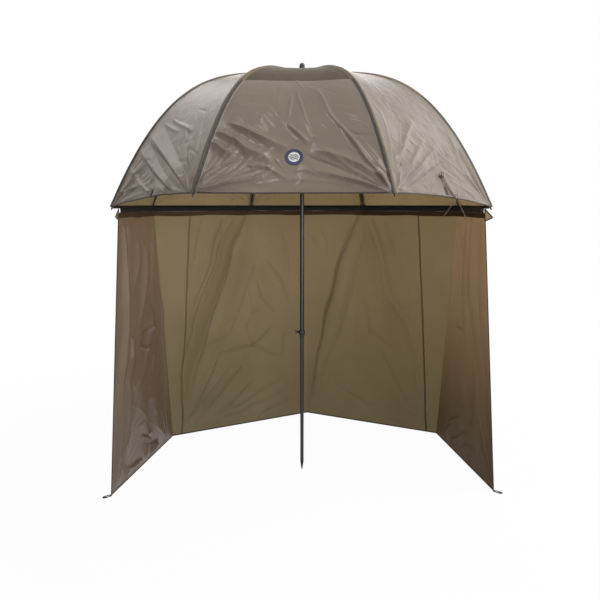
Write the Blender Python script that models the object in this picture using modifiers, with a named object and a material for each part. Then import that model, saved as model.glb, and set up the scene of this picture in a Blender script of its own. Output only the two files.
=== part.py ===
"""Umbrella tent: a fishing umbrella on a two-piece ground pole, with a zipped wrap-round wall.

Metres, +Z up. The pole stands on the z axis, its spike tip is the origin, and the tent
opens towards -Y. The ribs stand at odd multiples of 22.5 degrees round the pole.
"""

import math

import bpy
import numpy as np
from mathutils import Matrix, Vector

# Clearances
GAP = 0.0003  # between pieces that rest on each other
SLOT_PLAY = 0.0004  # each side of a flat end in its slot
EYE_PLAY = 0.00035  # round the wire in a rib's eye
PIN_PLAY = 0.00012  # round a joiner's pin in a stretcher's eye
TUBE_PLAY = 0.0003  # lower pole in the upper pole
RUNNER_PLAY = 0.0004  # runner on the upper pole

# Pole
UPPER_R = 0.011
TUBE_WALL = 0.0012
CLAMP_TOP = 0.781
CLAMP_LENGTH = 0.037
CLAMP_SEAT = 0.025  # how far the upper pole goes into its clamp
CLAMP_R = 0.016
LOWER_INSERT = 0.190  # lower pole inside the upper one
SPIKE_LENGTH = 0.055
SPIKE_PLUG = 0.030
SPIKE_FLAT_R = 0.002
SCREW_R = 0.003
SCREW_BELOW_TOP = 0.012
SCREW_BOSS_R = 0.0065
SCREW_BOSS_OUT = 0.0205
WING_SPAN = 0.028
WING_REACH = 0.012
WING_T = 0.0026
SPRING_T = 0.0008
SPRING_W = 0.006
SPRING_LENGTH = 0.055

# Hub and runner
HUB_R = 0.024  # radius of the ring of hinges, in the notch and in the runner
HUB_Z = 2.100
WIRE_R = 0.0014
EYE_R = 0.0037
TAB_T = 0.0032  # flattened ends of ribs and stretchers
CROWN_R = 0.031
CROWN_TOP = 0.006  # above the hinges
CROWN_FOOT = 0.026
RUNNER_R = 0.0295
RUNNER_SLEEVE_R = 0.0146
RUNNER_FOOT = 0.056
FERRULE_R = 0.014
FERRULE_HEIGHT = 0.043

# Ribs: one cubic in the plane of the rib, radius and height, from hinge to hem
RIB_COUNT = 8
RIB_R = 0.0025
RIB_BEND_1 = (0.357, HUB_Z - 0.0574)
RIB_BEND_2 = (0.6246, HUB_Z + 0.0703)
RIB_TIP = (0.9542, HUB_Z - 0.6711)
FRONT_SPRING = (0.0476, 0.0529)  # the two front ribs, which hold no wall, spring out and up
FRONT_BEND = 1.28
RIB_PAST_HEM = 0.0037
# Places along each rib, as shares of its cubic. The cloth's rows use the same ones.
RIB_SHARES = (0.013, 0.065, 0.13, 0.20, 0.28, 0.36, 0.43, 0.50, 0.57, 0.64, 0.71, 0.78, 0.85, 0.925, 1.0)
JOINER_SPAN = 0.400  # hinge to joiner, and so the stretcher's length
JOINER_DROP = 0.0088
CLIP_WALL = 0.0011
CLIP_LENGTH = 0.014
EAR_T = 0.0012
PIN_R = 0.0014
STRETCHER_R = 0.0023
TAB_LENGTH = 0.015
CAP_WALL = 0.0008
CAP_IN = 0.014
CAP_OUT = 0.012

# Cloth
CLOTH_T = 0.002
CLOTH_HOLE_R = (UPPER_R - TUBE_WALL) / math.cos(math.pi / 8)  # round the cap's stem
GORE_SAG = 0.010
SEAM_GAP = 0.0004
HALF_COLUMNS = 3
OPEN_GORES = (0, 6)  # the two beside the front, which hold no wall
HEM_RISE = 0.016  # how far their hem curves up in the middle

# Wall
BAND_TOP = RIB_TIP[1] + 0.0011
BAND_HEIGHT = 0.026
BAND_T = 0.0022
WALL_START = 0.10  # share of the side gore that stays open in front of the wall
BAND_START = 0.14
HEM_CORNERS = ((-0.943, -0.372), (-0.833, 0.494), (0.0, 1.005), (0.836, 0.610), (0.986, -0.244))
SIDE_COLUMNS = 10
BACK_COLUMNS = 34
WALL_ROWS = 12
FLAP_RIGHT = (0.036, 0.058)  # reach and height
FLAP_LEFT = (0.016, 0.056)
LOOP_LENGTH = 0.046
LOOP_WIDTH = 0.022
LOOP_T = 0.0025
LOOP_HOLE = (0.022, 0.010)
SLIDER_AT = 0.175

# Trim on the canopy
BADGE_R = 0.036
BADGE_T = 0.0014
BADGE_AT = 0.926  # share of the rib's cubic
BADGE_LIFT = 0.0009
BRIDGE_AT = 0.951
TAB_SIZE = (0.014, 0.036, 0.0016)
BRIDGE_WIDTH = 0.034
BRIDGE_LENGTH = 0.009
BRIDGE_HEIGHT = 0.0078
BRIDGE_T = 0.0014
CORD_R = 0.0012
OVER = (BRIDGE_HEIGHT + CORD_R + GAP) * 1000  # millimetres
# Route of the guy cord, in millimetres from the bridge: along the hem, down the cloth, out of it.
CORD_ROUTE = (
    (-6, 165, -63), (9, 146, -36), (22, 126, -12), (30, 114, 0.5), (33, 104, 5.6), (34, 94, 7.2),
    (33, 83.5, 4.6), (26, 63, 3.6), (15.8, 32, 3.4), (8.5, 11.5, 3.2), (7, 2, 2.8), (6.8, -5.6, 2.8),
    (6.8, -11.5, 3.4), (6.7, -15.9, 5.6), (6.6, -17.7, 9.4), (6.6, -15.9, 13.2), (6.7, -11.5, 15.0),
    (6.8, -5.6, 13.0), (7, 2, OVER + 0.3), (8.8, 10, OVER - 0.2), (21, 38, 6.8), (33.4, 66.4, 5.6),
    (41.6, 82, 6.4), (45, 91.6, 8.0), (43.6, 99.5, 10.2), (37.6, 102.4, 11.8), (31, 98, 12.2),
    (25.6, 85, 10.8), (17.7, 64.5, 9.0), (6.1, 38, 9.2), (-4.2, 11.5, OVER + 0.1),
    (-6, 2, OVER + 0.3), (-6.3, -5.6, 13.0), (-6.4, -11.5, 15.0), (-6.5, -15.9, 13.2),
    (-6.5, -17.7, 9.4), (-6.4, -15.9, 5.6), (-6.3, -11.5, 3.4), (-6.2, -5.6, 2.8), (-6, 3, 2.8),
    (-2.7, 13.3, 3.2), (3.8, 32.3, 3.8), (14.4, 58.8, 4.6), (23.6, 81.6, 6.2), (24.6, 93, 9.0),
    (27.5, 102.6, 13.4), (34, 106, 17.4), (41.5, 101.4, 19.4), (46.6, 93.6, 18.6),
    (49.2, 86, 15.6), (50.2, 82.2, 10.8), (50, 84.4, 6.2), (49.2, 90.6, 3.6), (48.2, 98, 3.2),
    (48, 107, 5.2), (50, 123, 7.5), (56, 148, 8), (62, 174, 7), (67, 197, 5.5),
)
CORD_STEP = 0.013

STEPS = 24


def clear_scene():
    for obj in list(bpy.data.objects):
        bpy.data.objects.remove(obj)


def material(name, color, roughness, metallic=0.0):
    made = bpy.data.materials.new(name)
    made.use_nodes = True
    shader = made.node_tree.nodes["Principled BSDF"]
    shader.inputs["Base Color"].default_value = (*color, 1.0)
    shader.inputs["Roughness"].default_value = roughness
    shader.inputs["Metallic"].default_value = metallic
    made.diffuse_color = (*color, 1.0)
    return made


def collections():
    root = bpy.context.scene.collection
    parts = bpy.data.collections.new("umbrella_tent")
    cutters = bpy.data.collections.new("cutters")
    root.children.link(parts)
    root.children.link(cutters)
    return parts, cutters


clear_scene()
PARTS, CUTTERS = collections()
CLOTH_MAT = material("proofed_nylon", (0.21, 0.17, 0.13), 0.55)
WEBBING_MAT = material("black_webbing", (0.012, 0.012, 0.013), 0.7)
PAINT_MAT = material("black_painted_steel", (0.015, 0.015, 0.016), 0.35)
STEEL_MAT = material("spring_steel", (0.30, 0.30, 0.31), 0.35, 1.0)
PLASTIC_MAT = material("black_plastic", (0.010, 0.010, 0.011), 0.4)
RIB_MAT = material("black_rib_wire", (0.014, 0.014, 0.015), 0.4)
CORD_MAT = material("brown_cord", (0.16, 0.12, 0.09), 0.8)
BADGE_MAT = material("woven_badge", (0.02, 0.03, 0.09), 0.7)
ZIP_MAT = material("zip_metal", (0.10, 0.13, 0.13), 0.4, 0.8)


def add(name, data, mat=None, where=None, matrix=None):
    obj = bpy.data.objects.new(name, data)
    (where or PARTS).objects.link(obj)
    if mat:
        data.materials.clear()
        data.materials.append(mat)
    if matrix is not None:
        obj.matrix_world = matrix
    return obj


def mesh_of(name, points, faces):
    mesh = bpy.data.meshes.new(name)
    mesh.from_pydata([tuple(map(float, p)) for p in points], [], faces)
    mesh.update()
    return mesh


def cutter(name, mesh, matrix=None):
    obj = add(name, mesh, None, CUTTERS, matrix)
    obj.hide_render = True
    obj.display_type = "WIRE"
    return obj


def boolean(obj, other, operation):
    step = obj.modifiers.new(operation.lower() + "_" + other.name, "BOOLEAN")
    step.solver = "EXACT"
    step.operation = operation
    step.object = other


def baked(obj):
    """The object's mesh with its modifiers applied. The object itself is removed."""
    bpy.context.view_layer.update()
    graph = bpy.context.evaluated_depsgraph_get()
    mesh = bpy.data.meshes.new_from_object(obj.evaluated_get(graph))
    bpy.data.objects.remove(obj)
    return mesh


def turned(name, profile, mat, closed, steps=STEPS, where=None, matrix=None):
    """A Screw of an outline given as (radius, height), outer side from top to bottom."""
    count = len(profile)
    edges = [(i, i + 1) for i in range(count - 1)]
    if closed:
        edges.append((count - 1, 0))
    mesh = bpy.data.meshes.new(name)
    mesh.from_pydata([(r, 0.0, z) for r, z in profile], edges, [])
    obj = add(name, mesh, mat, where, matrix)
    screw = obj.modifiers.new("turn", "SCREW")
    screw.angle = math.tau
    screw.steps = steps
    screw.render_steps = steps
    screw.use_merge_vertices = True
    screw.merge_threshold = 0.00001
    return obj


def prism(name, outline, low, high, axes=(0, 1, 2)):
    """A plate: a counter-clockwise outline in two axes, from low to high along the third."""
    count = len(outline)
    points = []
    for level in (low, high):
        for a, b in outline:
            p = [0.0, 0.0, 0.0]
            p[axes[0]] = a
            p[axes[1]] = b
            p[axes[2]] = level
            points.append(p)
    faces = [tuple(range(count, 2 * count)), tuple(reversed(range(count)))]
    faces += [(i, (i + 1) % count, count + (i + 1) % count, count + i) for i in range(count)]
    if np.linalg.det(np.eye(3)[list(axes)]) < 0:
        faces = [tuple(reversed(face)) for face in faces]
    return mesh_of(name, points, faces)


def arc(cx, cy, radius, start, end, count):
    """Points on a circle from start to end, in degrees."""
    turns = [math.radians(start + (end - start) * i / (count - 1)) for i in range(count)]
    return [(cx + radius * math.cos(a), cy + radius * math.sin(a)) for a in turns]


def ring_of(radius, count):
    """A round outline whose flats stay outside the radius."""
    return arc(0, 0, radius / math.cos(math.pi / count), 0, 360 - 360 / count, count)


def grid_shell(name, outer, inner):
    """A closed sheet between two grids of points of the same size."""
    rows, columns = outer.shape[:2]
    points = list(outer.reshape(-1, 3)) + list(inner.reshape(-1, 3))
    half = rows * columns

    def at(i, j, side):
        return side * half + i * columns + j

    faces = []
    for i in range(rows - 1):
        for j in range(columns - 1):
            faces.append((at(i, j, 0), at(i + 1, j, 0), at(i + 1, j + 1, 0), at(i, j + 1, 0)))
            faces.append((at(i, j, 1), at(i, j + 1, 1), at(i + 1, j + 1, 1), at(i + 1, j, 1)))
    for j in range(columns - 1):
        faces.append((at(0, j, 0), at(0, j + 1, 0), at(0, j + 1, 1), at(0, j, 1)))
        last = rows - 1
        faces.append((at(last, j + 1, 0), at(last, j, 0), at(last, j, 1), at(last, j + 1, 1)))
    for i in range(rows - 1):
        last = columns - 1
        faces.append((at(i + 1, 0, 0), at(i, 0, 0), at(i, 0, 1), at(i + 1, 0, 1)))
        faces.append((at(i, last, 0), at(i + 1, last, 0), at(i + 1, last, 1), at(i, last, 1)))
    mesh = mesh_of(name, points, faces)
    volume = 0.0
    for face in mesh.polygons:
        corners = [mesh.vertices[v].co for v in face.vertices]
        for k in range(1, len(corners) - 1):
            volume += corners[0].dot(corners[k].cross(corners[k + 1]))
    if volume < 0:
        mesh.flip_normals()
    return mesh


# Rib geometry, in the rib's own plane

RIB_CUBIC = np.array([(HUB_R, HUB_Z), RIB_BEND_1, RIB_BEND_2, RIB_TIP])


def cubic(t):
    a, b, c, d = RIB_CUBIC
    s = 1 - t
    return s**3 * a + 3 * s * s * t * b + 3 * s * t * t * c + t**3 * d


def joiner_share():
    """Where on the rib its joiner sits, so that the stretcher is as long as the rib's own arm."""
    low, high = 0.2, 0.7
    for _ in range(50):
        mid = (low + high) / 2
        low, high = (mid, high) if pivot_at(mid)[2] < JOINER_SPAN else (low, mid)
    return low


def tangent(t):
    a, b, c, d = RIB_CUBIC
    s = 1 - t
    step = 3 * (s * s * (b - a) + 2 * s * t * (c - b) + t * t * (d - c))
    return step / np.linalg.norm(step)


def pivot_at(t):
    along = tangent(t)
    point = cubic(t) + JOINER_DROP * np.array((along[1], -along[0]))
    return point[0], point[1], float(np.hypot(point[0] - HUB_R, point[1] - HUB_Z))


JOINER_T = joiner_share()
JOINER = np.array(pivot_at(JOINER_T)[:2])
RUNNER_Z = 2 * JOINER[1] - HUB_Z


def rib_point(t, front):
    """Centre of the rib wire. Up to the joiner every rib is the same."""
    point = cubic(t)
    if front and t > JOINER_T:
        share = (t - JOINER_T) / (1 - JOINER_T)
        point = point + share**FRONT_BEND * np.array(FRONT_SPRING)
    return point


def rib_frame(t, front):
    step = 1e-4
    low = max(0.0, t - step)
    high = min(1.0, t + step)
    along = rib_point(high, front) - rib_point(low, front)
    along = along / np.linalg.norm(along)
    return rib_point(t, front), along, np.array((-along[1], along[0]))


def tip_direction(front):
    along = rib_point(RIB_SHARES[-1], front) - rib_point(RIB_SHARES[-2], front)
    return along / np.linalg.norm(along)


CAP_R = RIB_R + GAP + CAP_WALL
CLIP_R = max(RIB_R + CLIP_WALL, CAP_R)
CLOTH_IN = (CLIP_R + GAP) / math.cos(math.pi / RIB_COUNT) + 0.0005
CROWN_LIFT = CROWN_TOP + GAP - CLOTH_IN


def azimuth(k):
    """Radians from the front (-Y) towards +X."""
    return math.radians(360 / RIB_COUNT * (k + 0.5))


def outward(k):
    return np.array((math.sin(azimuth(k)), -math.cos(azimuth(k))))


def is_front(k):
    return k % RIB_COUNT in (0, RIB_COUNT - 1)


def cloth_line(k, height):
    """The cloth over rib k at a height over its inner side, as rows of (radius, z)."""
    front = is_front(k)
    line = [(CLOTH_HOLE_R, HUB_Z + CROWN_TOP + GAP + height)]
    for t in (0.0,) + RIB_SHARES[1:]:
        point, _, normal = rib_frame(t, front)
        reach = (point[0] - HUB_R) / 0.05
        lift = CROWN_LIFT * max(0.0, 1 - max(0.0, reach - 0.25)) if reach < 1.25 else 0.0
        spot = point + (CLOTH_IN + lift + height) * normal
        line.append((spot[0], spot[1]))
    line[1] = (max(line[1][0], HUB_R), line[0][1])
    return line


def cloth_rows(k, height):
    line = cloth_line(k, height)
    side = outward(k)
    return np.array([(r * side[0], r * side[1], z) for r, z in line])


def half_gore(k, step, height):
    """Grid of the cloth from rib k half-way to its neighbour, rows by columns."""
    here = cloth_rows(k, height)
    there = cloth_rows(k + step, height)
    between = (azimuth(k) + azimuth(k + step)) / 2
    inward = np.array((-math.sin(between), math.cos(between), -1.0)) / math.sqrt(2)
    grid = np.empty((len(here), HALF_COLUMNS + 1, 3))
    for j in range(HALF_COLUMNS + 1):
        u = 0.5 * j / HALF_COLUMNS
        sag = GORE_SAG * 4 * u * (1 - u)
        for i in range(len(here)):
            share = max(0, i - 1) / (len(here) - 2)
            depth = sag * math.sin(math.pi * min(1.0, share)) ** 0.7
            grid[i, j] = (1 - u) * here[i] + u * there[i] + depth * inward
        if (k if step > 0 else k - 1) % RIB_COUNT in OPEN_GORES:
            up = grid[-2, j] - grid[-1, j]
            grid[-1, j] += up / np.linalg.norm(up) * HEM_RISE * 4 * u * (1 - u)
    along = np.array((math.cos(between), math.sin(between), 0.0)) * step
    grid[:, -1] -= along * SEAM_GAP / 2
    return grid


def sector(k, height):
    left = half_gore(k, -1, height)
    right = half_gore(k, 1, height)
    return np.concatenate((left[:, :0:-1], right), axis=1)


def on_cloth(k, step, share, across_share, height):
    """A place on the outer cloth of half a gore: point, across, up and out."""
    grid = half_gore(k, step, CLOTH_T)
    row = 1 + float(np.interp(share, (0.0,) + RIB_SHARES[1:], range(len(RIB_SHARES))))
    column = across_share * HALF_COLUMNS
    i, j = min(int(row), len(grid) - 2), min(int(column), HALF_COLUMNS - 1)
    a, b = row - i, column - j
    p00, p01, p10, p11 = grid[i, j], grid[i, j + 1], grid[i + 1, j], grid[i + 1, j + 1]
    point = (1 - a) * ((1 - b) * p00 + b * p01) + a * ((1 - b) * p10 + b * p11)
    down = (1 - b) * (p10 - p00) + b * (p11 - p01)
    across = ((1 - a) * (p01 - p00) + a * (p11 - p10)) * step
    down = down / np.linalg.norm(down)
    out = np.cross(down, across)
    out = out / np.linalg.norm(out)
    if out[2] < 0:
        out = -out
    across = np.cross(out, down)
    return point + height * out, across, -down, out


def frame_matrix(spot):
    point, across, up, out = spot
    rows = np.eye(4)
    rows[:3, 0] = np.cross(up, out)
    rows[:3, 1] = up
    rows[:3, 2] = out
    rows[:3, 3] = point
    return Matrix(rows.tolist())


def rib_matrix(k, radius, z):
    """Local X points away from the pole, and local Y is the hinge axis."""
    side = outward(k)
    turn = Matrix.Rotation(azimuth(k) - math.pi / 2, 4, "Z")
    return Matrix.Translation((radius * side[0], radius * side[1], z)) @ turn


def eye_outline(length, half, radius):
    """An eye round the origin with a bar that runs to +length."""
    start = math.degrees(math.asin(half / radius))
    points = arc(0, 0, radius, start, 360 - start, 10)
    return points + [(length, -half), (length, half)]


def bar_between(name, start, end, radius, sides):
    """A round bar in the plane of the rib, from one point to another."""
    a = Vector((start[0], 0, start[1]))
    b = Vector((end[0], 0, end[1]))
    turn = (b - a).to_track_quat("Z", "Y").to_matrix().to_4x4()
    mesh = prism(name, arc(0, 0, radius, 0, 360 - 360 / sides, sides), 0, (b - a).length)
    mesh.transform(Matrix.Translation(a) @ turn)
    return mesh


def turned_about_y(mesh, along, place):
    """Turns a piece drawn along +X to the direction given, and moves it to its place."""
    angle = -math.atan2(along[1], along[0])
    mesh.transform(Matrix.Translation((place[0], 0, place[1])) @ Matrix.Rotation(angle, 4, "Y"))
    return mesh


def rib_mesh(front):
    """Rib wire with its flattened eye and the clip of its joiner, hinge at the origin."""
    origin = np.array((HUB_R, HUB_Z))
    curve = bpy.data.curves.new("rib_path", "CURVE")
    curve.dimensions = "3D"
    curve.bevel_depth = RIB_R
    curve.bevel_resolution = 2
    curve.use_fill_caps = True
    spline = curve.splines.new("POLY")
    points = [rib_point(t, front) - origin for t in RIB_SHARES]
    points.append(points[-1] + RIB_PAST_HEM * tip_direction(front))
    spline.points.add(len(points) - 1)
    for spot, p in zip(spline.points, points):
        spot.co = (p[0], 0, p[1], 1)
    wire = add("rib_wire", curve, None, CUTTERS)
    body = add("rib_body", baked(wire), None, CUTTERS)
    weld = body.modifiers.new("weld", "WELD")
    weld.merge_threshold = 0.00001
    _, first, _ = rib_frame(0.01, front)
    flat = prism("tab", eye_outline(TAB_LENGTH + 0.004, RIB_R, EYE_R), -TAB_T / 2, TAB_T / 2, (0, 2, 1))
    _, along, _ = rib_frame(JOINER_T, False)
    pivot = JOINER - origin
    seat = cubic(JOINER_T) - origin
    sleeve = bar_between(
        "sleeve", seat - along * CLIP_LENGTH / 2, seat + along * CLIP_LENGTH / 2, CLIP_R, 8
    )
    width = TAB_T + 2 * SLOT_PLAY
    ears = prism(
        "ears",
        arc(0, 0, EYE_R, 180, 360, 7) + [(EYE_R, JOINER_DROP), (-EYE_R, JOINER_DROP)],
        -width / 2 - EAR_T,
        width / 2 + EAR_T,
        (0, 2, 1),
    )
    room = prism(
        "room",
        [(-0.012, -0.012), (0.012, -0.012), (0.012, JOINER_DROP - CLIP_R - 0.0004),
         (-0.012, JOINER_DROP - CLIP_R - 0.0004)],
        -width / 2,
        width / 2,
        (0, 2, 1),
    )
    reach = width / 2 + EAR_T / 2
    pin = prism("pin", arc(0, 0, PIN_R, 0, 315, 8), -reach, reach, (0, 2, 1))
    bore = prism("bore", ring_of(WIRE_R + EYE_PLAY, 10), -0.01, 0.01, (0, 2, 1))
    turned_about_y(flat, first, (0, 0))
    turned_about_y(ears, along, pivot)
    turned_about_y(room, along, pivot)
    steps = (
        (flat, "UNION"), (sleeve, "UNION"), (ears, "UNION"), (room, "DIFFERENCE"),
        (turned_about_y(pin, along, pivot), "UNION"), (bore, "DIFFERENCE"),
    )
    tools = []
    for mesh, operation in steps:
        tool = cutter(mesh.name + "_tool", mesh)
        tools.append(tool)
        boolean(body, tool, operation)
    result = baked(body)
    for tool in tools:
        bpy.data.objects.remove(tool)
    return result


def stretcher_mesh():
    """Round bar with two flattened eyes. The joiner's pin is at the origin."""
    length = JOINER_SPAN
    body = add("bar", bar_between("bar", (-TAB_LENGTH + 0.003, 0), (TAB_LENGTH - 0.003 - length, 0),
                                  STRETCHER_R, 8), None, CUTTERS)
    tools = []
    for place, turn in ((0.0, math.pi), (-length, 0.0)):
        flat = prism("flat", eye_outline(TAB_LENGTH, STRETCHER_R, EYE_R), -TAB_T / 2, TAB_T / 2,
                     (0, 2, 1))
        flat.transform(Matrix.Translation((place, 0, 0)) @ Matrix.Rotation(turn, 4, "Y"))
        tools.append((cutter("flat_tool", flat), "UNION"))
    for place, radius in ((0.0, PIN_R + PIN_PLAY), (-length, WIRE_R + EYE_PLAY)):
        hole = prism("hole", ring_of(radius, 10), -0.01, 0.01, (0, 2, 1))
        hole.transform(Matrix.Translation((place, 0, 0)))
        tools.append((cutter("hole_tool", hole), "DIFFERENCE"))
    for tool, operation in tools:
        boolean(body, tool, operation)
    result = baked(body)
    for tool, _ in tools:
        bpy.data.objects.remove(tool)
    return result


def slot_cutter(name, low, high):
    """Radial slots for the flattened ends, as many as there are ribs."""
    inner = HUB_R - EYE_R - 0.0015
    outer = max(CROWN_R, RUNNER_R) + 0.01
    half = TAB_T / 2 + SLOT_PLAY
    points = []
    faces = []
    for k in range(RIB_COUNT):
        piece = prism("slot", [(inner, -half), (outer, -half), (outer, half), (inner, half)], low, high)
        piece.transform(Matrix.Rotation(azimuth(k) - math.pi / 2, 4, "Z"))
        start = len(points)
        points += [v.co[:] for v in piece.vertices]
        faces += [tuple(start + v for v in face.vertices) for face in piece.polygons]
    return cutter(name, mesh_of(name, points, faces))


def pole():
    lower_r = UPPER_R - TUBE_WALL - TUBE_PLAY
    upper_base = CLAMP_TOP - CLAMP_SEAT
    upper_top = HUB_Z + CROWN_TOP
    screw_z = CLAMP_TOP - SCREW_BELOW_TOP

    def tube(name, radius, low, high, inner):
        lip = TUBE_WALL / 4
        return turned(
            name,
            [(radius - lip, high), (radius, high - lip), (radius, low + lip), (radius - lip, low),
             (inner, low), (inner, high)],
            PAINT_MAT,
            True,
        )

    upper = tube("upper_pole", UPPER_R, upper_base, upper_top, UPPER_R - TUBE_WALL)
    lower = tube("lower_pole", lower_r, SPIKE_LENGTH, upper_base + LOWER_INSERT, lower_r - TUBE_WALL)
    plug = lower_r - TUBE_WALL - GAP
    shoulder = SPIKE_LENGTH - GAP
    turned(
        "ground_spike",
        [(0, SPIKE_LENGTH + SPIKE_PLUG), (plug - 0.001, SPIKE_LENGTH + SPIKE_PLUG),
         (plug, SPIKE_LENGTH + SPIKE_PLUG - 0.001), (plug, shoulder), (lower_r, shoulder),
         (lower_r, shoulder - 0.006), (lower_r * 0.82, shoulder * 0.62),
         (lower_r * 0.52, shoulder * 0.28), (SPIKE_FLAT_R, 0), (0, 0)],
        STEEL_MAT,
        False,
    )
    seat = UPPER_R + GAP
    bottom = CLAMP_TOP - CLAMP_LENGTH
    clamp = turned(
        "pole_clamp",
        [(seat + 0.0018, CLAMP_TOP), (CLAMP_R - 0.001, CLAMP_TOP - 0.003),
         (CLAMP_R, CLAMP_TOP - 0.008), (CLAMP_R, CLAMP_TOP - 0.016),
         (CLAMP_R - 0.0015, CLAMP_TOP - 0.023), (lower_r + 0.0030, bottom + 0.004),
         (lower_r + 0.0022, bottom), (lower_r + TUBE_PLAY, bottom),
         (lower_r + TUBE_PLAY, upper_base - GAP), (seat, upper_base - GAP), (seat, CLAMP_TOP)],
        PLASTIC_MAT,
        True,
    )
    boss = prism("boss", arc(0, 0, SCREW_BOSS_R, 0, 337.5, 16), -SCREW_BOSS_OUT, -UPPER_R - 0.002,
                 (1, 2, 0))
    drill = prism("drill", ring_of(SCREW_R + GAP, 16), -0.05, -lower_r + 0.001, (1, 2, 0))
    lift = Matrix.Translation((0, 0, screw_z))
    boolean(clamp, cutter("clamp_boss", boss, lift), "UNION")
    drilled = cutter("screw_drill", drill, lift)
    keep_out = turned(
        "pole_room",
        [(0, CLAMP_TOP + 0.01), (seat, CLAMP_TOP + 0.01), (seat, upper_base - GAP),
         (lower_r + TUBE_PLAY, upper_base - GAP), (lower_r + TUBE_PLAY, bottom - 0.01),
         (0, bottom - 0.01)],
        None,
        False,
        where=CUTTERS,
    )
    keep_out.hide_render = True
    keep_out.display_type = "WIRE"
    boolean(clamp, keep_out, "DIFFERENCE")
    boolean(clamp, drilled, "DIFFERENCE")
    boolean(upper, drilled, "DIFFERENCE")

    tip = -lower_r - GAP
    head = -SCREW_BOSS_OUT - GAP
    outline = [(tip, -SCREW_R * 0.6), (tip - 0.001, -SCREW_R), (head, -SCREW_R), (head, -0.0058),
               (head - 0.003, -0.0062)]
    outline = [(abs(y), x) for x, y in outline]
    stem = [(0, tip)] + outline + [(0.0056, head - 0.0075), (0.004, head - 0.009), (0, head - 0.009)]
    screw = turned("clamp_screw", stem, PLASTIC_MAT, False, 16)
    # drawn along Z, then laid along -X with its hinge on the drill's axis
    screw.matrix_world = Matrix.Translation((0, 0, screw_z)) @ Matrix.Rotation(math.pi / 2, 4, "Y")
    half = WING_SPAN / 2
    wing = prism(
        "wing",
        [(-0.0035, head - 0.006), (0.0035, head - 0.006), (0.007, head - 0.0045),
         (half, head - WING_REACH), (half - 0.002, head - WING_REACH - 0.0045),
         (half - 0.006, head - WING_REACH - 0.004), (0.004, head - 0.009),
         (-0.004, head - 0.009), (-half + 0.006, head - WING_REACH - 0.004),
         (-half + 0.002, head - WING_REACH - 0.0045), (-half, head - WING_REACH),
         (-0.007, head - 0.0045)],
        -WING_T / 2,
        WING_T / 2,
        (0, 2, 1),
    )
    tilt = Matrix.Rotation(math.radians(35), 4, "Z")
    boolean(screw, cutter("screw_wing", wing, screw.matrix_world @ tilt), "UNION")

    # top spring: a bent strip that stands out of a slot in the pole and holds the runner up
    spring_top = RUNNER_Z - RUNNER_FOOT - 2 * GAP
    out = RUNNER_SLEEVE_R - 0.0008
    slot_half = SPRING_W / 2 + GAP
    slot = prism("spring_slot", [(0.004, -slot_half), (0.02, -slot_half), (0.02, slot_half),
                                 (0.004, slot_half)],
                 spring_top - SPRING_LENGTH - GAP, spring_top + GAP)
    side = Matrix.Rotation(math.pi / 2, 4, "Z")
    boolean(upper, cutter("spring_room", slot, side), "DIFFERENCE")
    hold = UPPER_R - TUBE_WALL - GAP
    path = [(hold, -SPRING_LENGTH + 0.001), (hold, -SPRING_LENGTH + 0.006), (out - 0.0012, -0.008),
            (out, -0.004), (out - 0.0006, 0.0), (UPPER_R - 0.002, 0.0), (hold - 0.001, -0.002)]
    strip = []
    for i, (r, z) in enumerate(path):
        before = np.array(path[max(0, i - 1)])
        after = np.array(path[min(len(path) - 1, i + 1)])
        along = (after - before) / np.linalg.norm(after - before)
        strip.append(((r, z), (r - SPRING_T * along[1], z + SPRING_T * along[0])))
    ring = [p for p, _ in strip] + [q for _, q in reversed(strip)]
    spring = prism("runner_spring", ring, -SPRING_W / 2, SPRING_W / 2, (0, 2, 1))
    area = sum(a[0] * b[1] - b[0] * a[1] for a, b in zip(ring, ring[1:] + ring[:1]))
    if area < 0:
        spring.flip_normals()
    add("runner_spring", spring, STEEL_MAT, matrix=Matrix.Translation((0, 0, spring_top)) @ side)
    return lower, screw


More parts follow.
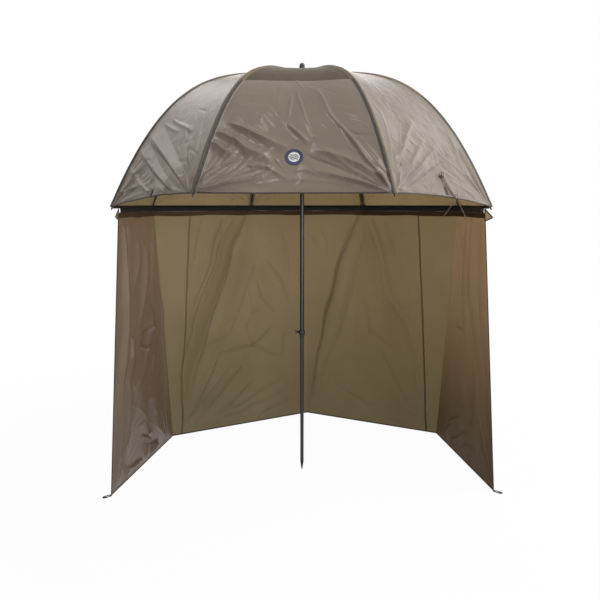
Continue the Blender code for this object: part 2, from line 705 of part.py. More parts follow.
def hub():
    ring_r = HUB_R
    groove = WIRE_R + GAP
    bore = UPPER_R + GAP
    notch = turned(
        "top_notch",
        [(HUB_R - 0.003, HUB_Z + CROWN_TOP), (CROWN_R, HUB_Z + CROWN_TOP - 0.0030),
         (CROWN_R, HUB_Z + groove),
         (ring_r - groove, HUB_Z + groove), (ring_r - groove, HUB_Z - groove),
         (CROWN_R, HUB_Z - groove), (CROWN_R, HUB_Z - 0.007), (bore + 0.006, HUB_Z - 0.013),
         (bore + 0.0035, HUB_Z - 0.016), (bore + 0.003, HUB_Z - CROWN_FOOT),
         (bore, HUB_Z - CROWN_FOOT), (bore, HUB_Z + CROWN_TOP)],
        PLASTIC_MAT,
        True,
        32,
    )
    boolean(notch, slot_cutter("notch_slots", HUB_Z - 0.02, HUB_Z + 0.02), "DIFFERENCE")
    circle = arc(0, 0, WIRE_R, 0, 300, 6)
    turned("notch_ring", [(ring_r + a, HUB_Z + b) for a, b in reversed(circle)], STEEL_MAT, True, 32)
    base = HUB_Z + CROWN_TOP + CLOTH_T + 2 * GAP
    top = base + FERRULE_HEIGHT
    stem = UPPER_R - TUBE_WALL - GAP
    turned(
        "ferrule_cap",
        [(0, top), (FERRULE_R * 0.42, top - 0.0012), (FERRULE_R * 0.78, top - 0.0045),
         (FERRULE_R * 0.95, top - 0.010), (FERRULE_R, top - 0.017), (FERRULE_R * 0.97, base + 0.011),
         (FERRULE_R * 0.86, base + 0.008), (FERRULE_R * 0.86, base + 0.005),
         (FERRULE_R * 1.06, base + 0.003), (FERRULE_R * 1.06, base), (stem, base),
         (stem, HUB_Z - 0.020), (stem - 0.0015, HUB_Z - 0.024), (0, HUB_Z - 0.024)],
        PLASTIC_MAT,
        False,
    )
    sleeve = UPPER_R + RUNNER_PLAY
    runner = turned(
        "runner",
        [(RUNNER_SLEEVE_R - 0.0008, 0.013), (RUNNER_SLEEVE_R, 0.012), (RUNNER_SLEEVE_R + 0.002, 0.006),
         (RUNNER_R - 0.001, 0.0052), (RUNNER_R, 0.004), (RUNNER_R, -0.004), (RUNNER_R - 0.001, -0.0052),
         (RUNNER_SLEEVE_R, -0.012), (RUNNER_SLEEVE_R, -RUNNER_FOOT + 0.010),
         (RUNNER_SLEEVE_R + 0.0024, -RUNNER_FOOT + 0.007), (RUNNER_SLEEVE_R + 0.0024, -RUNNER_FOOT),
         (sleeve, -RUNNER_FOOT), (sleeve, 0.013)],
        PLASTIC_MAT,
        True,
    )
    runner.location = (0, 0, RUNNER_Z)
    slots = slot_cutter("runner_slots", -0.012, 0.012)
    slots.location = (0, 0, RUNNER_Z)
    boolean(runner, slots, "DIFFERENCE")


def ribs():
    shapes = {flag: rib_mesh(flag) for flag in (False, True)}
    bar = stretcher_mesh()
    rest = math.atan2(HUB_Z - JOINER[1], JOINER[0] - HUB_R)
    for k in range(RIB_COUNT):
        front = is_front(k)
        number = str(k + 1)
        add("rib_" + number, shapes[front], RIB_MAT, matrix=rib_matrix(k, HUB_R, HUB_Z))
        lean = Matrix.Rotation(-rest, 4, "Y")
        add("stretcher_" + number, bar, RIB_MAT, matrix=rib_matrix(k, JOINER[0], JOINER[1]) @ lean)
        tip = rib_point(1.0, front)
        along = tip_direction(front)
        turn = Matrix.Rotation(math.atan2(along[0], along[1]), 4, "Y")
        bore = RIB_R + GAP
        cap = turned(
            "rib_cap_" + number,
            [(0, CAP_OUT), (CAP_R * 0.6, CAP_OUT - 0.0005), (CAP_R, CAP_OUT - 0.003),
             (CAP_R, -CAP_IN + 0.001),
             (CAP_R - 0.0004, -CAP_IN), (bore, -CAP_IN), (bore, RIB_PAST_HEM + GAP),
             (0, RIB_PAST_HEM + GAP)],
            PLASTIC_MAT,
            False,
            10,
        )
        cap.matrix_world = rib_matrix(k, tip[0], tip[1]) @ turn
        outer = sector(k, CLOTH_T)
        inner = sector(k, 0.0)
        add("canopy_" + number, grid_shell("canopy_" + number, outer, inner), CLOTH_MAT)


def chord(k, radius):
    side = outward(k)
    return np.array((radius * side[0], radius * side[1]))


def band_radius():
    """Radius of the band's outer face at a rib: its top edge clears the rib's cap."""
    tip = rib_point(1.0, False)
    along = tip_direction(False)
    share = (BAND_TOP - tip[1]) / along[1]
    centre = tip[0] + share * along[0]
    return centre - (CAP_R + GAP) / abs(along[1]) - GAP


def offset_line(points, distance):
    """The line moved to its left, mitred at its corners."""
    moved = []
    count = len(points)
    for i in range(count):
        before = points[i] - points[i - 1] if i else points[1] - points[0]
        after = points[i + 1] - points[i] if i < count - 1 else before
        before = before / np.linalg.norm(before)
        after = after / np.linalg.norm(after)
        n1 = np.array((-before[1], before[0]))
        n2 = np.array((-after[1], after[0]))
        bisector = (n1 + n2) / np.linalg.norm(n1 + n2)
        moved.append(points[i] + bisector * distance / bisector.dot(n1))
    return np.array(moved)


def rim_line(start):
    """From the left front end round the back to the right front end, at the band's outer face."""
    radius = band_radius()
    corners = [chord(k, radius) for k in (6, 5, 4, 3, 2, 1)]
    left = corners[0] + start * (corners[1] - corners[0])
    right = corners[5] + start * (corners[4] - corners[5])
    return [left] + corners[1:5] + [right]


def band():
    line = np.array(rim_line(BAND_START))
    inner = offset_line(line, -BAND_T)
    outline = [tuple(p) for p in inner] + [tuple(p) for p in reversed(line)]
    area = sum(a[0] * b[1] - b[0] * a[1] for a, b in zip(outline, outline[1:] + outline[:1]))
    if area < 0:
        outline.reverse()
    add("zip_band", prism("zip_band", outline, BAND_TOP - BAND_HEIGHT, BAND_TOP), WEBBING_MAT)


# Tension folds of the back wall: from a rib's end to a peg, as share of the width at the top
# and at the bottom, with depth and half-width in metres
FOLDS = (
    (0.335, 0.03, 0.034, 0.085),
    (0.330, 0.49, 0.016, 0.070),
    (0.665, 0.51, 0.024, 0.070),
    (0.670, 0.96, 0.034, 0.085),
)


def wall_point(share, v, width):
    """Outer face of the back wall at a share of its width and a share of its drop."""
    top = rim_line(WALL_START)[1:5]
    feet = [np.array(p) for p in HEM_CORNERS[1:4]]
    a = share * 3
    i = min(int(a), 2)
    high = top[i] + (a - i) * (top[i + 1] - top[i])
    b = share * 2
    j = min(int(b), 1)
    low = feet[j] + (b - j) * (feet[j + 1] - feet[j])
    flat = (1 - v) * high + v * low
    inward = -flat / np.linalg.norm(flat)
    envelope = math.sin(math.pi * v) ** 0.6
    depth = 0.0
    for at_top, at_foot, deep, half in FOLDS:
        line = at_top + (at_foot - at_top) * v
        spread = half * (0.55 + 0.45 * math.sin(math.pi * v)) / width
        depth += deep * math.exp(-(((share - line) / spread) ** 2))
    edge = math.sin(math.pi * share) ** 0.5 if 0 < share < 1 else 0.0
    slack = 0.022 * math.sin(3 * math.pi * share) ** 2 * math.sin(math.pi * v)
    return flat + inward * (depth - slack) * envelope * edge


def side_point(share, v, left):
    """Outer face of a side wall, from its front edge (0) to the back wall's corner (1)."""
    rim = rim_line(WALL_START)
    ends = (rim[0], rim[1]) if left else (rim[5], rim[4])
    feet = (HEM_CORNERS[0], HEM_CORNERS[1]) if left else (HEM_CORNERS[4], HEM_CORNERS[3])
    high = ends[0] + share * (ends[1] - ends[0])
    low = np.array(feet[0]) + share * (np.array(feet[1]) - np.array(feet[0]))
    flat = (1 - v) * high + v * low
    inward = -flat / np.linalg.norm(flat)
    edge = math.sin(math.pi * share) if 0 < share < 1 else 0.0
    ripple = math.cos(math.pi * (7 * share - 1.2 * v)) * (0.4 + 0.6 * v)
    return flat + inward * (0.014 + 0.007 * ripple) * edge * math.sin(math.pi * v) ** 0.7


def walls():
    """Three panels. Where two meet they share one mitred line, less the seam's gap."""
    top = BAND_TOP - BAND_HEIGHT - GAP
    back_width = 3 * float(np.linalg.norm(chord(3, band_radius()) - chord(2, band_radius())))
    columns = [("left", j / SIDE_COLUMNS) for j in range(SIDE_COLUMNS)]
    columns += [("back", j / BACK_COLUMNS) for j in range(BACK_COLUMNS + 1)]
    columns += [("right", 1 - j / SIDE_COLUMNS) for j in range(1, SIDE_COLUMNS + 1)]
    rows = WALL_ROWS + 1
    outer = np.zeros((rows, len(columns), 3))
    for i in range(rows):
        v = i / WALL_ROWS
        for j, (panel, share) in enumerate(columns):
            if panel == "back":
                x, y = wall_point(share, v, back_width)
            else:
                x, y = side_point(share, v, panel == "left")
            outer[i, j] = (x, y, top * (1 - v))
    inner = outer.copy()
    for i in range(rows):
        inner[i, :, :2] = offset_line(outer[i, :, :2], -CLOTH_T)
    first = SIDE_COLUMNS
    second = SIDE_COLUMNS + BACK_COLUMNS
    spans = (("wall_left", 0, first), ("wall_back", first, second),
             ("wall_right", second, len(columns) - 1))
    for name, low, high in spans:
        a = outer[:, low : high + 1].copy()
        b = inner[:, low : high + 1].copy()
        for grid in (a, b):
            if low:
                step = grid[:, 1] - grid[:, 0]
                grid[:, 0] += step / np.linalg.norm(step[:, :2], axis=1)[:, None] * SEAM_GAP / 2
            if high < len(columns) - 1:
                step = grid[:, -2] - grid[:, -1]
                grid[:, -1] += step / np.linalg.norm(step[:, :2], axis=1)[:, None] * SEAM_GAP / 2
            grid[:, :, 2] = outer[:, low : high + 1, 2]
        add(name, grid_shell(name, a, b), CLOTH_MAT)
    return outer, inner


def flaps(outer, inner):
    """Small storm flaps on the front edges of the wall, at its top."""
    for name, column, step, size in (
        ("flap_left", 0, 1, FLAP_LEFT),
        ("flap_right", -1, -2, FLAP_RIGHT),
    ):
        reach, height = size
        top = outer[0, column]
        along = outer[0, column] - outer[0, step]
        along[2] = 0
        along = along / np.linalg.norm(along)
        out = outer[0, column] - inner[0, column]
        out[2] = 0
        out = out / np.linalg.norm(out)
        slope = (inner[1, column] - inner[0, column]) / (inner[1, column, 2] - inner[0, column, 2])
        start = inner[0, column] + along * GAP * 2
        corners = ((0, 0.020), (0, -height + 0.020), (reach, -height * 0.72 + 0.020))
        points = []
        for thick in (0.0, CLOTH_T):
            for a, z in corners:
                p = start + along * thick + out * a + slope * z
                points.append((p[0], p[1], start[2] + z))
        faces = [(0, 1, 2), (5, 4, 3), (0, 3, 4, 1), (1, 4, 5, 2), (2, 5, 3, 0)]
        mesh = mesh_of(name, points, faces)
        centre = sum((Vector(p) for p in points), Vector()) / 6
        face = mesh.polygons[0]
        if face.normal.dot(face.center - centre) < 0:
            mesh.flip_normals()
        add(name, mesh, CLOTH_MAT)


def peg_loops(outer):
    """Webbing loops that lie on the ground at the wall's five corners."""
    columns = (0, SIDE_COLUMNS, SIDE_COLUMNS + BACK_COLUMNS // 2, SIDE_COLUMNS + BACK_COLUMNS, -1)
    half = LOOP_WIDTH / 2
    nose = LOOP_LENGTH - half
    hole = prism("loop_hole", [(half + a, b) for a, b in arc(0, 0, LOOP_HOLE[1] / 2, 90, 270, 7)]
                 + [(half + LOOP_HOLE[0] - LOOP_HOLE[1] + a, b)
                    for a, b in arc(0, 0, LOOP_HOLE[1] / 2, -90, 90, 7)],
                 -0.01, 0.01)
    shape = [(0, half * 0.75), (0, -half * 0.75), (half * 0.5, -half)]
    shape += [(nose + a, b) for a, b in arc(0, 0, half, -90, 90, 9)]
    shape += [(half * 0.5, half)]
    for number, column in enumerate(columns):
        foot = outer[-1, column]
        away = Vector((foot[0], foot[1], 0)).normalized()
        if column in (0, -1):
            away = (away + Vector((0, -0.55, 0))).normalized()
        place = Vector(foot) + away * GAP * 1.5
        turn = Matrix.Rotation(math.atan2(away[1], away[0]), 4, "Z")
        matrix = Matrix.Translation((place[0], place[1], 0)) @ turn
        name = "peg_loop_" + str(number + 1)
        loop = add(name, prism(name, shape, 0, LOOP_T), WEBBING_MAT, matrix=matrix)
        boolean(loop, cutter("peg_hole_" + str(number + 1), hole, matrix), "DIFFERENCE")


def zip_slider():
    radius = band_radius()
    front, back = chord(1, radius), chord(2, radius)
    along = (back - front) / np.linalg.norm(back - front)
    spot = front + SLIDER_AT * (back - front)
    out = np.array((along[1], -along[0]))
    if out.dot(spot) < 0:
        out = -out
    place = spot - out * (BAND_T + GAP)
    mid = BAND_TOP - BAND_HEIGHT / 2
    # local X along the zip, local Y into the tent, local Z up
    rows = np.eye(4)
    rows[:2, 0] = along if along[0] * out[1] - along[1] * out[0] < 0 else -along
    rows[:2, 1] = -out
    rows[:3, 3] = (place[0], place[1], mid)
    body = [(-0.006, 0.0), (0.006, 0.0), (0.006, 0.0028), (0.004, 0.0046), (-0.004, 0.0046),
            (-0.006, 0.0028)]
    slider = add("zip_slider", prism("zip_slider", body, -0.006, 0.006), ZIP_MAT,
                 matrix=Matrix(rows.tolist()))
    pull = prism("pull", [(-0.0022, 0.0030), (0.0022, 0.0030), (0.0022, 0.0042), (-0.0022, 0.0042)],
                 -0.030, -0.004)
    boolean(slider, cutter("zip_pull", pull, slider.matrix_world), "UNION")


def trim():
    """Badge, hem tabs and the guy cord with the webbing bridge that holds it."""
    badge_spot = on_cloth(0, -1, BADGE_AT, 1.0, BADGE_LIFT)
    badge = prism("badge", arc(0, 0, BADGE_R, 0, 345, 24), 0, BADGE_T)
    add("badge", badge, BADGE_MAT, matrix=frame_matrix(badge_spot))
    w, h, t = TAB_SIZE
    plate = [(-w / 2, -h / 2), (w / 2, -h / 2), (w / 2, h / 2), (-w / 2, h / 2)]
    for name, k, step, row in (("hem_tab_left", 7, -1, 0.990), ("hem_tab_right", 1, -1, 0.984)):
        spot = on_cloth(k, step, row, 0.965, GAP * 1.6)
        add(name, prism(name, plate, 0, t), WEBBING_MAT, matrix=frame_matrix(spot))
    place = frame_matrix(on_cloth(1, -1, BRIDGE_AT, 0.965, GAP * 1.6))
    half = BRIDGE_WIDTH / 2
    top = BRIDGE_HEIGHT
    foot = 0.0065
    over = [(-half, 0), (-half + foot, 0), (-half + foot + 0.002, top - BRIDGE_T),
            (half - foot - 0.002, top - BRIDGE_T), (half - foot, 0), (half, 0), (half, BRIDGE_T),
            (half - foot + 0.0014, BRIDGE_T), (half - foot - 0.0012, top),
            (-half + foot + 0.0012, top), (-half + foot - 0.0014, BRIDGE_T), (-half, BRIDGE_T)]
    bridge = prism("cord_bridge", over, -BRIDGE_LENGTH / 2, BRIDGE_LENGTH / 2, (0, 2, 1))
    add("cord_bridge", bridge, WEBBING_MAT, matrix=place)
    cord(place)


def smooth_route(points, step):
    """Points on a Catmull-Rom curve through the route's own points, closer where it bends."""
    p = [np.array(q, float) for q in points]
    p = [2 * p[0] - p[1]] + p + [2 * p[-1] - p[-2]]
    made = []
    for i in range(1, len(p) - 2):
        a, b, c, d = p[i - 1], p[i], p[i + 1], p[i + 2]
        pieces = max(1, round(float(np.linalg.norm(c - b)) / step))
        for n in range(pieces):
            t = n / pieces
            made.append(0.5 * (2 * b + (c - a) * t + (2 * a - 5 * b + 4 * c - d) * t**2
                               + (3 * b - a - 3 * c + d) * t**3))
    made.append(p[-2])
    return np.array(made)


def cord(place):
    points = smooth_route(CORD_ROUTE, CORD_STEP * 1000) / 1000
    curve = bpy.data.curves.new("guy_cord", "CURVE")
    curve.dimensions = "3D"
    curve.bevel_depth = CORD_R
    curve.bevel_resolution = 2
    curve.use_fill_caps = True
    spline = curve.splines.new("POLY")
    spline.points.add(len(points) - 1)
    for spot, (a, b, c) in zip(spline.points, points):
        p = place @ Vector((a, -b, c))
        spot.co = (p.x, p.y, p.z, 1)
    add("guy_cord", curve, CORD_MAT)


def report_values():
    lift = math.degrees(math.atan2(HUB_Z - JOINER[1], JOINER[0] - HUB_R))
    print("joiner share", round(JOINER_T, 4), "joiner", JOINER.round(5), "runner z", round(RUNNER_Z, 5))
    print("stretcher rises", round(lift, 3), "degrees, band radius", round(band_radius(), 5))
    fold = math.radians(lift + 48)
    print("runner travel", round(2 * JOINER_SPAN * (math.sin(fold) - math.sin(math.radians(lift))), 5))


pole()
hub()
ribs()
band()
OUTER, INNER = walls()
flaps(OUTER, INNER)
peg_loops(OUTER)
zip_slider()
trim()
report_values()
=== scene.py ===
# %% [markdown]
# # Umbrella tent
# A fishing umbrella on a ground pole, with a wall that zips to its rim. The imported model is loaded
# first: it is the fixed frame that every piece here is fitted to and rides on. Its cloth is
# plain and smooth, so this script makes the cloth anew, adds seams, stitches and cord, and gives
# every rigid piece its finish.

# %% Load the frame
import math

import bmesh
import bpy
import numpy as np
from mathutils import Matrix, Vector


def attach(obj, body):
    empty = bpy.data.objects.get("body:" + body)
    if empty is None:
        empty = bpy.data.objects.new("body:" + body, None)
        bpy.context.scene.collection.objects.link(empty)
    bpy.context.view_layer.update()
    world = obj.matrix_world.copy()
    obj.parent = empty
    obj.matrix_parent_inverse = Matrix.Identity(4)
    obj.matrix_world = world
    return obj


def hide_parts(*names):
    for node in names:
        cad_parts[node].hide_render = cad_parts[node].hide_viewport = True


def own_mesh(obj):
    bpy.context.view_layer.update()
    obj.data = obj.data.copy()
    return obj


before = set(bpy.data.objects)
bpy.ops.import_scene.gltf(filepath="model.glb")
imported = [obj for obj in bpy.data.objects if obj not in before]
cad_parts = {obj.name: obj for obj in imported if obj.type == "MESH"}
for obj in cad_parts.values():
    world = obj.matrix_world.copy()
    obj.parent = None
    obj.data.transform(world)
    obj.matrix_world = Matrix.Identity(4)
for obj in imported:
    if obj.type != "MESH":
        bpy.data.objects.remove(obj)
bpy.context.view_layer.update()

# %% [markdown]
# The camera stands where the photograph was taken from: a little right of the opening, at chest
# height, looking slightly down. It could be set by eye. Here its place and its lens were fitted to
# the rib ends, the peg points and the pole, so that every line falls where the photograph has it.

# %% Camera
CAMERA_PLACE = (0.1261, -3.4693, 1.4415)
LOOK_DOWN = 0.143  # radians
TURN_LEFT = 0.0394
LENS = 39.62
SENSOR = 36.0
VIEW_END = 60


def in_scene(name, data):
    """A new object of a mesh, a lamp or a camera, linked to the scene."""
    obj = bpy.data.objects.new(name, data)
    bpy.context.scene.collection.objects.link(obj)
    return obj


def make_camera():
    data = bpy.data.cameras.new("camera")
    data.lens = LENS
    data.sensor_width = SENSOR
    data.clip_end = VIEW_END
    camera = in_scene("camera", data)
    camera.location = CAMERA_PLACE
    camera.rotation_euler = (math.pi / 2 - LOOK_DOWN, 0.0, TURN_LEFT)
    bpy.context.scene.camera = camera
    bpy.context.scene.view_settings.view_transform = "Standard"


make_camera()
print("camera at", CAMERA_PLACE, "with a lens of", LENS, "mm")

# %% [markdown]
# The construction's own sizes come next, in metres. They could be measured on the frame's meshes.
# Here they repeat what the frame was built from, which is exact, so that the cloth, the tapes and
# the cord lie on the ribs. Each rib is one cubic in its own plane, given as radius and height. The
# two front ribs hold no wall, so they spring out and up past the joiner.

# %% Sizes of the frame
GAP = 0.0003  # between pieces that move against one another
UPPER_R = 0.011
TUBE_WALL = 0.0012
HUB_R = 0.024
HUB_Z = 2.100
CROWN_TOP = 0.006
RIB_CUBIC = np.array([(HUB_R, HUB_Z), (0.357, HUB_Z - 0.0574), (0.6246, HUB_Z + 0.0703),
                      (0.9542, HUB_Z - 0.6711)])
FRONT_SPRING = np.array((0.0476, 0.0529))
FRONT_BEND = 1.28
JOINER_T = 0.4237
CAP_R = 0.0036
RIBS = 8
CLOTH_T = 0.002
CLOTH_SPARE = 0.0005
CLOTH_HOLE_R = (UPPER_R - TUBE_WALL) / math.cos(math.pi / RIBS)
CLOTH_IN = (CAP_R + GAP) / math.cos(math.pi / RIBS) + CLOTH_SPARE
CROWN_LIFT = CROWN_TOP + GAP - CLOTH_IN
CROWN_REACH = 0.05  # how far from the hub the cloth comes down off the crown
CROWN_FLAT = 0.25  # share of that reach that stays level
GORE_SAG = 0.010
OPEN_GORES = (0, 6)  # beside the front, where the hem carries no wall
HEM_RISE = 0.016
BAND_TOP = RIB_CUBIC[3][1] + 0.0011
BAND_HEIGHT = 0.026
BAND_T = 0.0022
BAND_R = 0.94905
WALL_START = 0.10  # share of the side chord that is open at the front
BAND_START = 0.14
WALL_TOP = BAND_TOP - BAND_HEIGHT - GAP
PEGS = ((-0.943, -0.372), (-0.833, 0.494), (0.0, 1.005), (0.836, 0.610), (0.986, -0.244))
print("rib tip at radius", RIB_CUBIC[3][0], "m, height", round(RIB_CUBIC[3][1], 4), "m")

# %% [markdown]
# A few functions turn those sizes into places: the line of a rib, its normals, and the cloth's
# line over it. Points could be typed in rib by rib, but the ribs share one line, turned about the
# pole.

# %% Lines of the ribs
def azimuth(k):
    """Radians from the front (-Y) towards +X."""
    return math.radians(360 / RIBS * (k + 0.5))


def outward(k):
    """The level direction from the pole to rib k."""
    return np.array((math.sin(azimuth(k)), -math.cos(azimuth(k))))


def is_front(k):
    return k % RIBS in (0, RIBS - 1)


def rib_point(t, front):
    """Centres of the rib wire at shares t of the cubic."""
    t = np.asarray(t, float)[..., None]
    a, b, c, d = RIB_CUBIC
    s = 1 - t
    point = s**3 * a + 3 * s * s * t * b + 3 * s * t * t * c + t**3 * d
    if front:
        past = np.clip((t - JOINER_T) / (1 - JOINER_T), 0, None)
        point = point + past**FRONT_BEND * FRONT_SPRING
    return point


def rib_normal(t, front):
    """Unit normals of the rib line, away from the inside of the umbrella."""
    t = np.asarray(t, float)
    along = rib_point(np.minimum(t + 1e-4, 1), front) - rib_point(np.maximum(t - 1e-4, 0), front)
    along = along / np.linalg.norm(along, axis=-1, keepdims=True)
    return np.stack((-along[..., 1], along[..., 0]), axis=-1)


def cloth_line(k, t, height):
    """The cloth over rib k, as (radius, z), at a height over its inner side."""
    front = is_front(k)
    point = rib_point(t, front)
    reach = (point[..., 0] - HUB_R) / CROWN_REACH
    lift = CROWN_LIFT * np.clip(1 - np.clip(reach - CROWN_FLAT, 0, None), 0, None)
    return point + (CLOTH_IN + lift + height)[..., None] * rib_normal(t, front)


def on_rib_plane(k, line):
    """Points in space from (radius, z) points in the plane of rib k."""
    side = outward(k)
    return np.stack((line[..., 0] * side[0], line[..., 0] * side[1], line[..., 1]), axis=-1)


print("rib 1 stands", math.degrees(azimuth(0)), "degrees from the front")

# %% [markdown]
# The guy cord is one limp cord, doubled over a webbing bridge near the right front rib and tied
# in a loose knot, with two hanging tails. A rope simulation could drop it there, but it would not
# give the knot and the loops that show. So its route is written point by point, in millimetres
# from the bridge: along the hem, down the cloth and out of it. A soft curve follows the points.

# %% Route of the guy cord
BRIDGE_HEIGHT = 0.0078
BRIDGE_AT = 0.951  # share of the way down the gore
BRIDGE_ACROSS = 0.5175
CORD_R = 0.0012
OVER = (BRIDGE_HEIGHT + CORD_R + GAP) * 1000
CORD_ROUTE = (
    (-6, 165, -63), (9, 146, -36), (22, 126, -12), (30, 114, 0.5), (33, 104, 5.6), (34, 94, 7.2),
    (33, 83.5, 4.6), (26, 63, 3.6), (15.8, 32, 3.4), (8.5, 11.5, 3.2), (7, 2, 2.8), (6.8, -5.6, 2.8),
    (6.8, -11.5, 3.4), (6.7, -15.9, 5.6), (6.6, -17.7, 9.4), (6.6, -15.9, 13.2), (6.7, -11.5, 15.0),
    (6.8, -5.6, 13.0), (7, 2, OVER + 0.3), (8.8, 10, OVER - 0.2), (21, 38, 6.8), (33.4, 66.4, 5.6),
    (41.6, 82, 6.4), (45, 91.6, 8.0), (43.6, 99.5, 10.2), (37.6, 102.4, 11.8), (31, 98, 12.2),
    (25.6, 85, 10.8), (17.7, 64.5, 9.0), (6.1, 38, 9.2), (-4.2, 11.5, OVER + 0.1),
    (-6, 2, OVER + 0.3), (-6.3, -5.6, 13.0), (-6.4, -11.5, 15.0), (-6.5, -15.9, 13.2),
    (-6.5, -17.7, 9.4), (-6.4, -15.9, 5.6), (-6.3, -11.5, 3.4), (-6.2, -5.6, 2.8), (-6, 3, 2.8),
    (-2.7, 13.3, 3.2), (3.8, 32.3, 3.8), (14.4, 58.8, 4.6), (23.6, 81.6, 6.2), (24.6, 93, 9.0),
    (27.5, 102.6, 13.4), (34, 106, 17.4), (41.5, 101.4, 19.4), (46.6, 93.6, 18.6),
    (49.2, 86, 15.6), (50.2, 82.2, 10.8), (50, 84.4, 6.2), (49.2, 90.6, 3.6), (48.2, 98, 3.2),
    (48, 107, 5.2), (50, 123, 7.5), (56, 148, 8), (62, 174, 7), (67, 197, 5.5),
)
TURN_POINT = 14  # where the cord turns over the bridge's edge for the first time
CORD_STEPS = 6


def smooth_route(points, steps):
    """A soft curve (a cubic B-spline) that follows the route's own points."""
    p = [np.array(q, float) for q in points]
    p = [2 * p[0] - p[1]] + p + [2 * p[-1] - p[-2]]
    made = []
    for a, b, c, d in zip(p, p[1:], p[2:], p[3:]):
        for n in range(steps):
            t = n / steps
            made.append((a * (1 - t) ** 3 + b * (3 * t**3 - 6 * t**2 + 4)
                         + c * (-3 * t**3 + 3 * t**2 + 3 * t + 1) + d * t**3) / 6)
    made.append(p[-2])
    return np.array(made)


def length_of(points):
    return float(np.linalg.norm(np.diff(points, axis=0), axis=1).sum())


def reach_along(points):
    """Distance travelled along a line, at each of its points."""
    return np.insert(np.cumsum(np.linalg.norm(np.diff(points, axis=0), axis=1)), 0, 0)


print("guy cord:", len(CORD_ROUTE), "points on its route")

# %% [markdown]
# The bridge, the tabs and the patch lie on the outer cloth. They could be set down by a ray or a
# Shrinkwrap modifier. A formula is exact and always gives the same place: a helper finds it from a
# share of the rib and a share of the way to the next rib, with the cloth's own directions there.

# %% Places on the cloth
METRES_PER_SHARE = 2.1  # length of cloth for one whole share of the rib, near the hem
HEM_ZONE_START = 0.8
HEM_ZONE = 0.2
SAG_SHAPE = 0.7


def gore_base(k, t, u, height, rise=HEM_RISE):
    """Plain cloth between rib k and rib k + 1: rows t down the rib, columns u across."""
    t = t[:, None] + 0 * u[None]
    if k % RIBS in OPEN_GORES:
        low = np.clip((t - HEM_ZONE_START) / HEM_ZONE, 0, 1) ** 2
        t = t - rise / METRES_PER_SHARE * 4 * u * (1 - u) * low
    here = on_rib_plane(k, cloth_line(k, t, height + 0 * t))
    there = on_rib_plane(k + 1, cloth_line(k + 1, t, height + 0 * t))
    mid = (azimuth(k) + azimuth(k + 1)) / 2
    inward = np.array((-math.sin(mid), math.cos(mid), -1.0)) / math.sqrt(2)
    depth = GORE_SAG * 4 * u * (1 - u) * np.sin(math.pi * np.clip(t, 0, 1)) ** SAG_SHAPE
    u = u[None, :, None]
    return (1 - u) * here + u * there + depth[..., None] * inward


# the construction's cloth is faceted, and the trim is seated on its facets
FACET_ROWS = (0, 0.065, 0.13, 0.20, 0.28, 0.36, 0.43, 0.50, 0.57, 0.64, 0.71, 0.78, 0.85, 0.925, 1.0)
FACETS_ACROSS = 6


def place_on_cloth(k, t, u, height):
    """A matrix on the outer cloth of gore k: X to the right, Y up the cloth, Z out."""
    i = int(np.searchsorted(FACET_ROWS, t)) - 1
    rows = np.array(FACET_ROWS[i : i + 2])
    j = int(u * FACETS_ACROSS)
    columns = np.array((j, j + 1)) / FACETS_ACROSS
    grid = gore_base(k, rows, columns, CLOTH_T, rise=0)
    if k in OPEN_GORES and rows[1] == 1:
        up = grid[0] - grid[1]
        rise = HEM_RISE * 4 * columns * (1 - columns) / np.linalg.norm(up, axis=1)
        grid[1] += up * rise[:, None]
    a = (t - rows[0]) / (rows[1] - rows[0])
    b = (u - columns[0]) * FACETS_ACROSS
    left, right = (1 - a) * grid[0] + a * grid[1]
    point = Vector((1 - b) * left + b * right)
    up = Vector((1 - b) * (grid[0, 0] - grid[1, 0]) + b * (grid[0, 1] - grid[1, 1])).normalized()
    out = Vector(right - left).cross(up).normalized()
    made = Matrix((up.cross(out), up, out)).transposed().to_4x4()
    made.translation = point + height * out
    return made


FRONT_GORE = 7  # between rib 8, at the left of the opening, and rib 1, at its right
RIGHT_GORE = 0
LEFT_GORE = 6
print("gores seen from the front:", (LEFT_GORE, FRONT_GORE, RIGHT_GORE))

# %% [markdown]
# Every piece ends the same way: its mesh holds its place, its object stays at the origin, it
# rides on one body of the frame, it may stand for a node, and it takes a finish from a slot. A
# rigid piece is a copy of a node, merged and smoothed. It could be modelled again, but a copy
# cannot miss its place.

# %% Placing a piece
MERGE_WITHIN = 0.000005
FLAT_WITHIN = math.radians(0.5)


def piece(name, mesh, body, stands_for=()):
    """An object of the mesh that rides on a body and may stand for nodes of the frame."""
    obj = in_scene(name, mesh)
    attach(obj, body)
    if stands_for:
        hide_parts(*stands_for)
    return obj


def dressed(name, node, body, finish, smooth_angle=35):
    """A copy of a node's own shape, merged and smoothed, in a finish of its own."""
    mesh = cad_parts[node].data.copy()
    mesh.name = name
    bm = bmesh.new()
    bm.from_mesh(mesh)
    bmesh.ops.remove_doubles(bm, verts=bm.verts, dist=MERGE_WITHIN)
    bmesh.ops.dissolve_limit(bm, angle_limit=FLAT_WITHIN, verts=bm.verts, edges=bm.edges)
    bmesh.ops.recalc_face_normals(bm, faces=bm.faces)
    bm.to_mesh(mesh)
    bm.free()
    mesh.materials.clear()
    mesh.materials.append(finish)
    mesh.polygons.foreach_set("material_index", [0] * len(mesh.polygons))
    mesh.polygons.foreach_set("use_smooth", [True] * len(mesh.polygons))
    mesh.set_sharp_from_angle(angle=math.radians(smooth_angle))
    return piece(name, mesh, body, (node,))


# %% [markdown]
# Cloth and tape are closed sheets between two grids of points. Solidify could thicken one grid,
# but a mesh written from its points keeps its UV map, which is in metres, and its edges exactly
# as they are meant.

